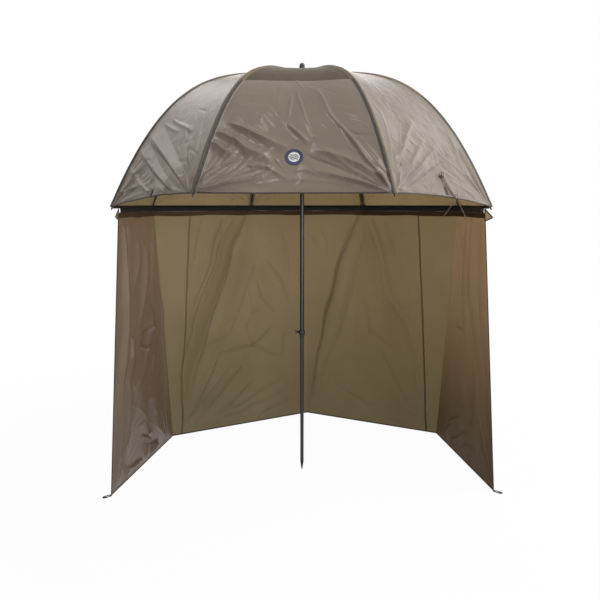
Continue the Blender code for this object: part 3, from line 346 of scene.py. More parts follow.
# %% Sheets
def outward_faces(mesh):
    """Recalculates the normals of a closed mesh, so that they all point outwards."""
    bm = bmesh.new()
    bm.from_mesh(mesh)
    bmesh.ops.recalc_face_normals(bm, faces=bm.faces)
    bm.to_mesh(mesh)
    bm.free()


def metres_along(grid, axis):
    """Distance travelled along one direction of a grid of points."""
    step = np.linalg.norm(np.diff(grid, axis=axis), axis=2)
    return np.insert(np.cumsum(step, axis=axis), 0, 0, axis=axis)


def grid_normals(grid):
    """Unit normals of a grid, rows down and columns across."""
    down = np.gradient(grid, axis=0)
    across = np.gradient(grid, axis=1)
    normal = np.cross(down, across)
    return normal / np.maximum(np.linalg.norm(normal, axis=2, keepdims=True), 1e-12)


def sheet_mesh(name, outer, inner, finishes, normals=None):
    """A closed sheet. The outer face takes the first finish, the inner the second."""
    rows, columns = outer.shape[:2]
    half = rows * columns
    index = np.arange(half).reshape(rows, columns)
    a, b = index[:-1, :-1].ravel(), index[1:, :-1].ravel()
    c, d = index[1:, 1:].ravel(), index[:-1, 1:].ravel()
    faces = [np.stack((a, b, c, d), 1), np.stack((a, d, c, b), 1) + half]
    ring = np.concatenate((index[0, :], index[1:, -1], index[-1, -2::-1], index[-2:0:-1, 0]))
    after = np.roll(ring, -1)
    faces.append(np.stack((ring, after, after + half, ring + half), 1))
    mesh = bpy.data.meshes.new(name)
    points = np.concatenate((outer.reshape(-1, 3), inner.reshape(-1, 3)))
    mesh.from_pydata(points.tolist(), [], np.concatenate(faces).tolist())
    for finish in finishes:
        mesh.materials.append(finish)
    count = (rows - 1) * (columns - 1)
    slots = np.zeros(len(mesh.polygons), int)
    slots[count : 2 * count] = min(1, len(finishes) - 1)
    mesh.polygons.foreach_set("material_index", slots)
    smooth = np.ones(len(mesh.polygons), bool)
    smooth[2 * count :] = False
    mesh.polygons.foreach_set("use_smooth", smooth)
    uv = np.stack((metres_along(outer, 1), metres_along(outer, 0)), axis=2)
    corners = np.empty(len(mesh.loops), int)
    mesh.loops.foreach_get("vertex_index", corners)
    layer = mesh.uv_layers.new(name="cloth")
    layer.data.foreach_set("uv", np.tile(uv.reshape(-1, 2), (2, 1))[corners].ravel())
    if normals is not None:
        flat = np.concatenate((normals.reshape(-1, 3), -normals.reshape(-1, 3)))[corners]
        rim = np.zeros((len(mesh.loops) - 8 * count, 3))
        mesh.normals_split_custom_set(np.concatenate((flat[: 8 * count], rim)).tolist())
    return mesh


level_square = np.stack((*np.meshgrid((0.0, 1.0), (0.0, 1.0)), np.zeros((2, 2))), axis=2)
print("a level sheet's normal, rows towards +Y:", grid_normals(level_square)[0, 0])

# %% [markdown]
# Cords, bindings and bars are round tubes along a line, and a sleeve is a pipe with a bore. A
# curve with a bevel could make them, but its ends are flat and its UV map isn't in metres.

# %% Tubes and pipes
SHARP_SEAM = math.radians(50)
ANY_WAY = (0.31, 0.47, 0.83)  # a direction that no line here follows
END_BULGE = 0.6  # how far a tube's end stands out, as a share of its radius


def pipe_mesh(name, outer, inner, finish):
    """A closed pipe between an outer and an inner set of rings."""
    rows, sides = outer.shape[:2]
    index = np.arange(rows * sides).reshape(rows, sides)
    after = np.roll(index, -1, axis=1)
    half = rows * sides
    quads = np.stack((index[:-1], after[:-1], after[1:], index[1:]), axis=2).reshape(-1, 4)
    faces = [quads, quads[:, ::-1] + half]
    for here, there in ((index[0], after[0]), (index[-1], after[-1])):
        faces.append(np.stack((here, here + half, there + half, there), axis=1))
    mesh = bpy.data.meshes.new(name)
    points = np.concatenate((outer.reshape(-1, 3), inner.reshape(-1, 3)))
    mesh.from_pydata(points.tolist(), [], np.concatenate(faces).tolist())
    mesh.materials.append(finish)
    mesh.polygons.foreach_set("use_smooth", [True] * len(mesh.polygons))
    outward_faces(mesh)
    mesh.set_sharp_from_angle(angle=SHARP_SEAM)
    return mesh


def tube_points(line, radius, sides, up=ANY_WAY):
    """Rings of points round a line, turned as little as possible from one to the next."""
    line = np.asarray(line, float)
    along = np.gradient(line, axis=0)
    along /= np.linalg.norm(along, axis=1, keepdims=True)
    turn = np.arange(sides) * math.tau / sides
    side = np.cross(along[0], up)
    rings = []
    for point, way in zip(line, along):
        side = side - side.dot(way) * way
        side /= np.linalg.norm(side)
        other = np.cross(way, side)
        rings.append(point + radius * (np.cos(turn)[:, None] * side + np.sin(turn)[:, None] * other))
    return np.array(rings)


def tube_mesh(name, line, radius, sides, finish):
    """A closed round tube along a line, with a UV map in metres."""
    line = np.asarray(line, float)
    rings = tube_points(line, radius, sides)
    rows = len(rings)
    points = rings.reshape(-1, 3).tolist()
    faces = []
    for first in range(0, (rows - 1) * sides, sides):
        for j in range(sides):
            here, there = first + j, first + (j + 1) % sides
            faces.append((here, there, there + sides, here + sides))
    for first, end, before in ((0, line[0], line[1]), ((rows - 1) * sides, line[-1], line[-2])):
        away = end - before
        tip = len(points)
        points.append((end + radius * END_BULGE * away / np.linalg.norm(away)).tolist())
        for j in range(sides):
            here, there = first + j, first + (j + 1) % sides
            faces.append((here, there, tip) if first else (there, here, tip))
    mesh = bpy.data.meshes.new(name)
    mesh.from_pydata(points, [], faces)
    mesh.materials.append(finish)
    mesh.polygons.foreach_set("use_smooth", [True] * len(faces))
    reach = reach_along(line)
    layer = mesh.uv_layers.new(name="cord")
    for face in mesh.polygons:
        for corner, vertex in zip(face.loop_indices, face.vertices):
            row = min(vertex // sides, rows - 1)
            layer.data[corner].uv = (math.tau * radius * (vertex % sides) / sides, reach[row])
    outward_faces(mesh)
    return mesh


print("points round a thin tube:", len(tube_points([(0, 0, 0), (0, 0, 1)], 0.001, 6)[0]))

# %% [markdown]
# Finishes. A colour is written as it looks on a screen and turned into the linear values that a
# shader wants. Constant values go straight on the shader's own sockets. What varies over the
# surface comes from nodes: noise for uneven dye and wear, and bump for the weave. Painted image
# textures could do the same, but nodes stay sharp at any distance and need no file.

# %% Helpers for finishes
def screen_colour(red, green, blue):
    """Linear colour of a screen colour given from 0 to 255."""
    made = []
    for value in (red, green, blue):
        share = value / 255
        made.append(share / 12.92 if share <= 0.04045 else ((share + 0.055) / 1.055) ** 2.4)
    return (*made, 1.0)


def empty_finish(name, roughness, metallic=0.0):
    made = bpy.data.materials.new(name)
    made.use_nodes = True
    shader = made.node_tree.nodes["Principled BSDF"]
    shader.inputs["Roughness"].default_value = roughness
    shader.inputs["Metallic"].default_value = metallic
    return made, made.node_tree, shader


def add_node(tree, kind, **values):
    """A node with its input values, given by socket name with spaces as underscores."""
    node = tree.nodes.new(kind)
    for key, value in values.items():
        name = key.replace("_", " ")
        if name in node.inputs:
            node.inputs[name].default_value = value
        else:
            setattr(node, key, value)
    return node


def join(tree, *links):
    """Links of a node's output to another's input, each by the socket's name or number."""
    for source, output, target, input_name in links:
        tree.links.new(source.outputs[output], target.inputs[input_name])


def noise_between(tree, where, scale, low, high, sharp=(0.35, 0.65)):
    """A colour that wanders between two colours, by noise on the given coordinates."""
    noise = add_node(tree, "ShaderNodeTexNoise", Scale=scale, Detail=4.0, Roughness=0.55)
    tree.links.new(where, noise.inputs["Vector"])
    ramp = tree.nodes.new("ShaderNodeValToRGB")
    for stop, position, colour in zip(ramp.color_ramp.elements, sharp, (low, high)):
        stop.position = position
        stop.color = colour
    tree.links.new(noise.outputs["Fac"], ramp.inputs["Fac"])
    return ramp.outputs["Color"]


def bump_from(tree, height, distance, strength, under=None):
    """A normal tilted by a height in metres, over another bump if one is given."""
    bump = add_node(tree, "ShaderNodeBump", Strength=strength, Distance=distance)
    tree.links.new(height, bump.inputs["Height"])
    if under:
        tree.links.new(under, bump.inputs["Normal"])
    return bump.outputs["Normal"]


def tinted(colour, factor):
    return (*(min(1.0, c * factor) for c in colour[:3]), 1.0)


print("mid grey on a screen is", round(screen_colour(128, 128, 128)[0], 3), "to a shader")

# %% [markdown]
# The cloth is thin proofed polyester. Its outer side is a taupe with the wet-looking shine of
# the proofing, its inner side an olive tan. Light comes through it, so each side mixes a little
# translucent shader into a plain one: a see-through shader would show the poles behind it, which
# real cloth hides. Its creases are real shape. The bump adds the small crumples between them and
# the weave: the crumples by place, so that sewn pieces match, and the weave on the sheet's own UV
# map, which is in metres.

# %% Making a cloth finish
# under this height the walls' colour is darkened as painted shade
PAINTED_SHADE_BELOW = 1.2  # height under which a wall gets darker
DYE_SCALE = 3.1
CRUMPLES = ((9.0, 1.0), (30.0, 0.35))  # scale of the noise, and share of the crumple height
WEAVE_SCALE = 190.0
WEAVE_DEPTH = 0.00010


def painted_shade_towards_ground(tree, place, colour, low):
    """The colour, darkened down to a share of itself at the ground: painted shade on the walls."""
    height = tree.nodes.new("ShaderNodeSeparateXYZ")
    share = add_node(tree, "ShaderNodeMapRange", From_Max=PAINTED_SHADE_BELOW, To_Min=low,
                     interpolation_type="SMOOTHSTEP")
    scaled = add_node(tree, "ShaderNodeVectorMath", operation="SCALE")
    tree.links.new(place, height.inputs["Vector"])
    tree.links.new(height.outputs["Z"], share.inputs["Value"])
    tree.links.new(colour, scaled.inputs["Vector"])
    tree.links.new(share.outputs["Result"], scaled.inputs["Scale"])
    return scaled.outputs["Vector"]


def cloth_finish(name, colour, shine, through, crumple, glow=None, gloss=0.05, low=1.0):
    """A cloth's side: its colour, roughness, share of light that comes through, height of its
    crumples, colour of that light, gloss, and share of its colour that is left at the ground, as
    painted shade."""
    made, tree, shader = empty_finish(name, shine)
    shader.inputs["Specular IOR Level"].default_value = gloss
    place = tree.nodes.new("ShaderNodeTexCoord").outputs["Object"]
    woven = add_node(tree, "ShaderNodeUVMap", uv_map="cloth").outputs["UV"]
    cloudy = noise_between(tree, place, DYE_SCALE, tinted(colour, 0.92), tinted(colour, 1.08))
    glowing = add_node(tree, "ShaderNodeBsdfTranslucent", Color=glow or colour)
    # towards the ground the colour and the light that comes through are darkened: painted shade
    if low < 1:
        cloudy = painted_shade_towards_ground(tree, place, cloudy, low)
        through_colour = add_node(tree, "ShaderNodeRGB")
        through_colour.outputs["Color"].default_value = glow or colour
        lit = painted_shade_towards_ground(tree, place, through_colour.outputs["Color"], low)
        tree.links.new(lit, glowing.inputs["Color"])
    tree.links.new(cloudy, shader.inputs["Base Color"])
    normal = None
    for scale, share in CRUMPLES:
        noise = add_node(tree, "ShaderNodeTexNoise", Scale=scale, Detail=2.5, Distortion=0.7)
        noise.noise_type = "RIDGED_MULTIFRACTAL"
        tree.links.new(place, noise.inputs["Vector"])
        normal = bump_from(tree, noise.outputs["Fac"], crumple * share, 0.6, normal)
    for direction in ("X", "Y"):
        wave = add_node(tree, "ShaderNodeTexWave", Scale=WEAVE_SCALE, Distortion=0.4)
        wave.bands_direction = direction
        tree.links.new(woven, wave.inputs["Vector"])
        normal = bump_from(tree, wave.outputs["Fac"], WEAVE_DEPTH, 0.3, normal)
    tree.links.new(normal, shader.inputs["Normal"])
    mix = add_node(tree, "ShaderNodeMixShader", Fac=through)
    join(tree, (shader, "BSDF", mix, 1), (glowing, "BSDF", mix, 2),
         (mix, "Shader", tree.nodes["Material Output"], "Surface"))
    return made


# the crown's painted shade fades out between these two places
CROWN_SHADE_FADES = (-0.36, -0.16)  # from the front of the crown to behind it


def crown_shade_fades_at_hub(made, colour):
    """Turns a cloth's colour into another one towards the hub, where the crown's painted shade ends."""
    tree = made.node_tree
    shader = tree.nodes["Principled BSDF"]
    before = shader.inputs["Base Color"].links[0].from_socket
    place = tree.nodes.new("ShaderNodeTexCoord").outputs["Object"]
    parts = tree.nodes.new("ShaderNodeSeparateXYZ")
    share = add_node(tree, "ShaderNodeMapRange", From_Min=CROWN_SHADE_FADES[0], From_Max=CROWN_SHADE_FADES[1],
                     interpolation_type="SMOOTHSTEP")
    mix = add_node(tree, "ShaderNodeMixRGB", Color2=colour)
    tree.links.new(place, parts.inputs["Vector"])
    tree.links.new(before, mix.inputs["Color1"])
    join(tree, (parts, "Y", share, "Value"), (share, "Result", mix, "Fac"),
         (mix, "Color", shader, "Base Color"))


print("crumples:", len(CRUMPLES), "sizes, over the weave")

# %% [markdown]
# The outside is a shiny taupe, the back wall olive inside and the side walls browner, and all
# three are painted darker towards the ground, as shade, the right wall most. One finish for all
# would be simpler, but the lamps alone could not tell these apart. Their colours were found by
# rendering and comparing.

# %% Cloth finishes
TAUPE = screen_colour(123, 114, 107)
OLIVE = screen_colour(169, 157, 129)
TAN = screen_colour(188, 173, 146)
BROWN = screen_colour(156, 136, 120)
THROUGH_TAN = screen_colour(222, 206, 174)
THROUGH_OLIVE = screen_colour(206, 194, 167)
THROUGH_BROWN = screen_colour(210, 188, 164)
CANOPY_OUT = cloth_finish("proofed_taupe_cloth", TAUPE, 0.27, 0.28, 0.0026,
                          glow=THROUGH_TAN, gloss=0.45)
# painted shade on the crown of the front gore, fading back to the taupe towards the hub
CROWN_PAINTED_SHADE = cloth_finish("taupe_crown_painted_shade", screen_colour(98, 89, 76), 0.50, 0.12, 0.0020)
crown_shade_fades_at_hub(CROWN_PAINTED_SHADE, TAUPE)
CANOPY_IN = cloth_finish("tan_lining_side", TAN, 0.60, 0.52, 0.0016, glow=THROUGH_TAN)
# each wall's last value is the share of its colour left at the ground, painted shade; the right wall's
# is lowest, for the shade on its side
WALL_IN = cloth_finish("olive_wall_inside_painted_shade", OLIVE, 0.50, 0.36, 0.0018, glow=THROUGH_OLIVE, low=0.74)
WALL_OUT = cloth_finish("taupe_wall_outside", TAUPE, 0.42, 0.40, 0.0016, glow=THROUGH_TAN, gloss=0.3)
LEFT_IN = cloth_finish("brown_left_inside_painted_shade", BROWN, 0.34, 0.20, 0.0026,
                       glow=THROUGH_BROWN, gloss=0.35, low=0.60)
RIGHT_IN = cloth_finish("brown_right_inside_painted_shade", BROWN, 0.50, 0.42, 0.0020,
                        glow=THROUGH_BROWN, low=0.28)
# the facing's dark brown is partly painted shade of the doubled cloth under the band
FACING_AND_SHADE = cloth_finish("brown_facing_painted_shade", screen_colour(98, 80, 62), 0.65, 0.05, 0.0010)
# seam finishes: the olive also paints the shade on the ridge's slope away from the opening, and the
# pale edge is a painted highlight
SEAM_OLIVE_AND_SHADE = cloth_finish("olive_seam_cloth_painted_shade", screen_colour(116, 106, 88), 0.45, 0.0, 0.0006)
SEAM_PAINTED_HIGHLIGHT = cloth_finish("seam_painted_highlight", screen_colour(154, 146, 138), 0.30, 0.0, 0.0006)
print("finishes so far:", len(bpy.data.materials))

# %% [markdown]
# The rest is webbing, black paint over steel tube, coated rib wire, moulded plastic, bare
# steel, cord and thread. Webbing and cord have their rib or twist as bump along their own length:
# real threads would be too fine to see from here. Paint and plastic are worn a little lighter by
# noise.

# %% Hard finishes and trim
def grained_finish(name, colour, roughness, metallic=0.0, grain=600.0, depth=0.00006, wear=0.35):
    """Paint, plastic, metal or thread: a fine grain, over a colour that wears lighter and darker."""
    made, tree, shader = empty_finish(name, roughness, metallic)
    where = tree.nodes.new("ShaderNodeTexCoord").outputs["Object"]
    shade = noise_between(tree, where, 14.0, tinted(colour, 1 - wear), tinted(colour, 1 + wear))
    tree.links.new(shade, shader.inputs["Base Color"])
    noise = add_node(tree, "ShaderNodeTexNoise", Scale=grain, Detail=2.0)
    tree.links.new(where, noise.inputs["Vector"])
    tree.links.new(bump_from(tree, noise.outputs["Fac"], depth, 0.6), shader.inputs["Normal"])
    return made


def webbing_finish(name, colour, rib, roughness=0.75):
    """Narrow woven tape: ribs across Z, over a soft uneven black."""
    made, tree, shader = empty_finish(name, roughness)
    where = tree.nodes.new("ShaderNodeTexCoord").outputs["Object"]
    shade = noise_between(tree, where, 60.0, tinted(colour, 0.6), tinted(colour, 1.5))
    tree.links.new(shade, shader.inputs["Base Color"])
    wave = add_node(tree, "ShaderNodeTexWave", Scale=rib, Distortion=0.6)
    wave.bands_direction = "Z"
    tree.links.new(where, wave.inputs["Vector"])
    tree.links.new(bump_from(tree, wave.outputs["Fac"], 0.0003, 0.5), shader.inputs["Normal"])
    return made


def cord_finish(name, colour, fleck):
    """Braided cord: a twist along its length with darker flecks."""
    made, tree, shader = empty_finish(name, 0.8)
    where = add_node(tree, "ShaderNodeUVMap", uv_map="cord").outputs["UV"]
    shade = noise_between(tree, where, 420.0, fleck, colour, sharp=(0.4, 0.6))
    tree.links.new(shade, shader.inputs["Base Color"])
    wave = add_node(tree, "ShaderNodeTexWave", Scale=170.0, Distortion=0.3)
    wave.bands_direction = "DIAGONAL"
    tree.links.new(where, wave.inputs["Vector"])
    tree.links.new(bump_from(tree, wave.outputs["Fac"], 0.0003, 0.8), shader.inputs["Normal"])
    return made


BLACK_PAINT = grained_finish("black_pole_paint", screen_colour(26, 26, 29), 0.30, grain=420.0)
BLACK_PLASTIC = grained_finish("black_moulded_plastic", screen_colour(20, 20, 22), 0.42, grain=900.0)
RIB_COAT = grained_finish("black_rib_coating", screen_colour(18, 18, 19), 0.38, grain=700.0)
SPRING_STEEL = grained_finish("spring_steel", screen_colour(150, 150, 155), 0.28, 1.0, wear=0.15)
ZIP_METAL = grained_finish("grey_zip_metal", screen_colour(92, 104, 106), 0.38, 0.85, wear=0.2)
SPIKE_STEEL = grained_finish("blacked_spike_steel", screen_colour(30, 29, 30), 0.45, 0.4,
                             depth=0.0002)
BLACK_TAPE = webbing_finish("black_zip_tape", screen_colour(19, 20, 21), 260.0)
BLACK_WEBBING = webbing_finish("black_webbing", screen_colour(24, 24, 25), 150.0)
# the seam tape, dark partly as painted shade on the ridge's slope towards the opening
SEAM_TAPE_IN_SHADE = webbing_finish("dark_seam_tape_painted_shade", screen_colour(56, 52, 47), 160.0, 0.75)
CORD_BROWN = cord_finish("brown_guy_cord", screen_colour(150, 128, 112), screen_colour(60, 48, 42))
THREAD = grained_finish("grey_thread", screen_colour(150, 142, 134), 0.6, grain=1500.0)
DARK_THREAD = grained_finish("dark_thread", screen_colour(58, 52, 46), 0.6, grain=1500.0)
print("finishes so far:", len(bpy.data.materials))

# %% [markdown]
# Stitches, and later zip teeth, repeat along lines, so Geometry Nodes make them. An Array modifier
# on a curve could too, but it bends its copies. One tree serves them all: it turns the edges of a
# mesh into curves, puts points on them at an even spacing, sets a small six-sided bar on each
# point along the line, and turns the bars into real faces. Its sizes are named inputs, set by
# identifier.

# %% Stitch and tooth tree
def along_line_tree():
    tree = bpy.data.node_groups.new("bars_along_lines", "GeometryNodeTree")
    face = tree.interface
    face.new_socket(name="Lines", in_out="INPUT", socket_type="NodeSocketGeometry")
    for name, value in (("Spacing", 0.006), ("Bar Length", 0.004), ("Bar Width", 0.0009),
                        ("Bar Height", 0.0006)):
        socket = face.new_socket(name=name, in_out="INPUT", socket_type="NodeSocketFloat")
        socket.default_value = value
    face.new_socket(name="Thread", in_out="INPUT", socket_type="NodeSocketMaterial")
    face.new_socket(name="Bars", in_out="OUTPUT", socket_type="NodeSocketGeometry")
    start = tree.nodes.new("NodeGroupInput")
    end = tree.nodes.new("NodeGroupOutput")
    curve = tree.nodes.new("GeometryNodeMeshToCurve")
    points = add_node(tree, "GeometryNodeCurveToPoints", mode="LENGTH")
    bar = add_node(tree, "GeometryNodeMeshCylinder", Vertices=6, Radius=0.5, Depth=1.0)
    size = tree.nodes.new("ShaderNodeCombineXYZ")
    place = tree.nodes.new("GeometryNodeInstanceOnPoints")
    real = tree.nodes.new("GeometryNodeRealizeInstances")
    paint = tree.nodes.new("GeometryNodeSetMaterial")
    join(tree, (start, "Lines", curve, "Mesh"), (curve, "Curve", points, "Curve"),
         (start, "Spacing", points, "Length"), (start, "Bar Width", size, "X"),
         (start, "Bar Height", size, "Y"), (start, "Bar Length", size, "Z"),
         (points, "Points", place, "Points"), (points, "Rotation", place, "Rotation"),
         (bar, "Mesh", place, "Instance"), (size, "Vector", place, "Scale"),
         (place, "Instances", real, "Geometry"), (real, "Geometry", paint, "Geometry"),
         (start, "Thread", paint, "Material"), (paint, "Geometry", end, "Bars"))
    return tree


ALONG_LINES = along_line_tree()


def bars_along(name, lines, thread, **sizes):
    """Plain mesh of bars along several lines of points."""
    points = []
    edges = []
    for line in lines:
        first = len(points)
        points += [tuple(map(float, p)) for p in line]
        edges += [(first + i, first + i + 1) for i in range(len(line) - 1)]
    mesh = bpy.data.meshes.new(name)
    mesh.from_pydata(points, edges, [])
    holder = in_scene(name, mesh)
    step = holder.modifiers.new("bars", "NODES")
    step.node_group = ALONG_LINES
    values = {key.replace("_", " "): value for key, value in sizes.items()}
    values["Thread"] = thread
    for socket in ALONG_LINES.interface.items_tree:
        if socket.in_out == "INPUT" and socket.name in values:
            step[socket.identifier] = values[socket.name]
    bpy.context.view_layer.update()
    graph = bpy.context.evaluated_depsgraph_get()
    made = bpy.data.meshes.new_from_object(holder.evaluated_get(graph))
    made.name = name
    bpy.data.objects.remove(holder)
    bpy.data.meshes.remove(mesh)
    made.materials.clear()
    made.materials.append(thread)
    made.polygons.foreach_set("material_index", [0] * len(made.polygons))
    return made


print("tree inputs:", [item.name for item in ALONG_LINES.interface.items_tree])

# %% [markdown]
# The canopy. On the real umbrella eight gores of cloth are sewn together along the ribs and
# stretched over them. A cloth simulation would find soft folds of its own. Here each crease has
# its place, so it is a ridge along a given line. Two helpers come first: a smooth
# noise, which could be a texture but has to move real points, and a point's place by a bent line.

# %% Noise, and places by a line
NOISE_CELLS = 128
NOISE_SHIFT = (41.3, 17.7)
FAR = 9.0  # further than any point of the cloth


def soft_noise(x, y, size, seed):
    """Smooth noise from -1 to 1 with bumps about size across."""
    lattice = np.random.default_rng(seed).uniform(-1, 1, (NOISE_CELLS, NOISE_CELLS))
    a, b = x / size + NOISE_SHIFT[0], y / size + NOISE_SHIFT[1]
    i, j = np.floor(a).astype(int), np.floor(b).astype(int)
    p, q = a - i, b - j
    p, q = p * p * (3 - 2 * p), q * q * (3 - 2 * q)
    k, m = (i + 1) % NOISE_CELLS, (j + 1) % NOISE_CELLS
    i, j = i % NOISE_CELLS, j % NOISE_CELLS
    low = lattice[i, j] * (1 - p) + lattice[k, j] * p
    high = lattice[i, m] * (1 - p) + lattice[k, m] * p
    return low * (1 - q) + high * q


def along_and_off(x, y, points):
    """Share of the way along a bent line, and distance from it, less than nothing on its right."""
    steps = [math.dist(a, b) for a, b in zip(points, points[1:])]
    along = np.zeros_like(x)
    off = np.full_like(x, FAR)
    side = np.ones_like(x)
    gone = 0.0
    for (x0, y0), (x1, y1), run in zip(points, points[1:], steps):
        share = np.clip(((x - x0) * (x1 - x0) + (y - y0) * (y1 - y0)) / run**2, 0, 1)
        gap = np.hypot(x - x0 - share * (x1 - x0), y - y0 - share * (y1 - y0))
        turn = (x1 - x0) * (y - y0) - (y1 - y0) * (x - x0)
        along = np.where(gap < off, (gone + share * run) / sum(steps), along)
        side = np.where(gap < off, np.where(turn < 0, -1.0, 1.0), side)
        off = np.minimum(gap, off)
        gone += run
    return along, off * side


spot = along_and_off(np.full(1, 0.5), np.full(1, 0.2), ((0.0, 0.0), (1.0, 0.0)))
print("half way along a line and 0.2 off it:", [float(v[0]) for v in spot])

# %% [markdown]
# Most creases start at a rib's tip, where the cloth is pulled, and fade towards the middle. A
# soft one is a ridge, a pulled one a long slope with a short drop. Small ones fan out from a
# corner or lie scattered. They could be sculpted, but a list of lines can be read and corrected.

# %% Shapes of the creases
def ridges(x, y, lines, wander):
    """Height of a set of folds: each follows a line of points, with a half-width and a height."""
    x, y = x + wander * soft_noise(x, y, 0.16, 5), y + wander * soft_noise(x, y, 0.14, 9)
    total = np.zeros_like(x)
    for points, width, height in lines:
        along, off = along_and_off(x, y, points)
        off = np.abs(off)
        fade = np.sin(math.pi * np.clip(0.06 + 0.94 * along**0.8, 0, 1)) ** 0.6
        spread = width * (0.5 + 0.8 * along)
        total += height * fade * np.exp(-((off / spread) ** 1.4))
    return total


def taut_folds(x, y, lines):
    """Height of pulled folds: a flat slope up to the line from its left, a short drop beyond it."""
    total = np.zeros_like(x)
    for points, width, height in lines:
        along, off = along_and_off(x, y, points)
        off = off / (width * (0.18 + 0.95 * along))
        fade = np.clip(along / 0.12, 0, 1) * np.clip((1 - along) / 0.20, 0, 1)
        slope = np.where(off > 0, np.clip(1 - off, 0, 1), np.clip(1 + off / 0.35, 0, 1))
        total += height * fade * slope
    return total


def fan(rng, corner, reach, low, high, count, width, height):
    """Folds that spread from a corner, at angles in degrees from low to high."""
    made = []
    for n in range(count):
        turn = math.radians(low + (high - low) * (n + rng.uniform(0.15, 0.85)) / count)
        bend = turn + math.radians(rng.normal(0, 7))
        far = reach * rng.uniform(0.45, 1.0)
        half = (corner[0] + far / 2 * math.cos(turn), corner[1] - far / 2 * math.sin(turn))
        end = (half[0] + far / 2 * math.cos(bend), half[1] - far / 2 * math.sin(bend))
        made.append(((corner, half, end), width * rng.uniform(0.5, 1.4),
                     height * rng.uniform(0.35, 1.0) * rng.choice((1, 1, -1))))
    return made


def scattered(rng, count, box, length, lean, width, height):
    """Short folds anywhere in a box (x low, x high, y low, y high), near one lean in degrees."""
    made = []
    for _ in range(count):
        x, y = rng.uniform(box[0], box[1]), rng.uniform(box[2], box[3])
        turn = math.radians(lean + rng.normal(0, 22))
        far = length * rng.uniform(0.4, 1.3)
        end = (x + far * math.cos(turn), y - far * math.sin(turn))
        made.append((((x, y), end), width * rng.uniform(0.6, 1.3), height * rng.uniform(-0.8, 1.0)))
    return made


sample = ridges(np.full(1, 0.1), np.zeros(1), [(((0.0, 0.0), (0.2, 0.0)), 0.02, 10.0)], 0.0)
print("a fold of 10 mm stands", round(float(sample[0]), 1), "mm high half way along")

# %% [markdown]
# Three gores show from the front, and the creases that catch the light there are written down one
# by one. Small ones from a fixed seed fill in between them, and they alone crease the gores behind.

# %% Creases of the gores
# points in metres (x from the gore's middle, y down from the hub), then the half-width and the
# height in millimetres
LONG_CREASES = {
    FRONT_GORE: (
        (((-0.386, 1.176), (-0.334, 1.099), (-0.280, 1.071)), 8, 11),
        (((-0.383, 1.176), (-0.317, 1.114), (-0.257, 1.065), (-0.207, 1.015)), 7, 11),
        (((-0.379, 1.176), (-0.276, 1.130), (-0.220, 1.083), (-0.171, 1.021)), 7, 10),
        (((-0.375, 1.176), (-0.275, 1.146), (-0.159, 1.120), (-0.098, 1.092), (-0.076, 1.056)), 7, 10),
        (((-0.281, 1.053), (-0.221, 0.993)), 6, 5),
        (((-0.256, 0.856), (-0.149, 0.915), (-0.069, 0.957), (-0.012, 0.976)), 21, 13),
        (((-0.310, 0.897), (-0.239, 0.936), (-0.189, 0.981), (-0.118, 1.015), (-0.081, 1.056)), 21, 13),
        (((-0.329, 0.946), (-0.270, 0.993), (-0.219, 1.009)), 20, 12),
        (((-0.177, 1.056), (-0.102, 1.065), (-0.021, 1.120)), 8, 5),
        (((0.373, 1.149), (0.275, 1.004), (0.140, 0.801), (0.078, 0.635)), 6, 5),
        (((0.364, 1.146), (0.274, 1.027), (0.193, 0.885)), 7, 7),
        (((0.379, 1.162), (0.337, 1.108), (0.198, 1.021), (0.069, 0.973)), 16, 10),
        (((0.382, 1.166), (0.314, 1.153), (0.190, 1.108), (0.032, 1.059)), 13, 8),
        (((-0.002, 0.673), (0.066, 0.890), (0.088, 0.938)), 4, 3),
        (((-0.023, 0.688), (-0.025, 0.851)), 4, 3),
        (((-0.020, 0.858), (0.057, 0.949)), 11, 7),
        (((0.361, 1.089), (0.304, 1.035)), 10, 6),
        (((0.359, 1.166), (0.261, 1.133), (0.139, 1.095)), 6, 5),
        (((-0.381, 1.153), (-0.367, 1.074), (-0.349, 0.987)), 6, 5),
    ),
    RIGHT_GORE: (
        (((-0.358, 1.149), (-0.299, 1.081), (-0.262, 1.038)), 7, -9),
        (((-0.336, 1.143), (-0.182, 1.016), (0.006, 0.886)), 13, 6),
        (((-0.329, 1.146), (-0.076, 1.005), (0.100, 0.899)), 11, 5),
        (((-0.300, 1.146), (-0.048, 1.038), (0.159, 0.934)), 11, -5),
        (((0.326, 1.140), (0.230, 1.025), (0.242, 0.822)), 11, 5),
        (((0.352, 1.153), (0.279, 0.986), (0.255, 0.894)), 9, -7),
        (((0.262, 1.149), (0.085, 1.075)), 8, 4),
        (((-0.272, 1.019), (-0.158, 0.911), (0.000, 0.776)), 15, 5),
    ),
    LEFT_GORE: (
        (((0.353, 1.156), (0.190, 0.968), (0.151, 0.882)), 6, 7),
        (((0.142, 1.162), (0.056, 1.122)), 7, 6),
        (((-0.128, 0.748), (0.136, 0.853)), 8, 6),
        (((-0.181, 0.769), (0.016, 0.836)), 8, 5),
        (((0.006, 1.156), (-0.145, 1.084), (-0.341, 0.973)), 13, 7),
        (((-0.369, 1.113), (-0.183, 1.099), (-0.041, 1.096)), 9, 5),
    ),
}
# the two pale streaks of the left gore, by their lower edges
TAUT_STREAKS = ((((0.352, 1.160), (0.015, 0.972), (-0.300, 0.800)), 0.075, 0.020),
                (((0.225, 1.160), (-0.012, 1.050), (-0.320, 0.880)), 0.058, 0.016))
GORE_LENGTH = 1.17
HEM_HALF = 0.375
CREASE_GAIN = 1.6  # higher than they measure, as an even light flattens them
SMALL_SHARE = {FRONT_GORE: 0.8, LEFT_GORE: 0.7, RIGHT_GORE: 0.35}
SMALL_SHARE_BEHIND = 1.2
# of the gores that no photograph shows
HIDDEN_CREASES = ((((-0.16, 0.42), (0.26, 0.98)), 0.045, 0.0080),
                  (((-0.20, 0.66), (0.12, 1.10)), 0.040, -0.0070),
                  (((-0.26, 0.86), (0.02, 1.14)), 0.035, 0.0060))


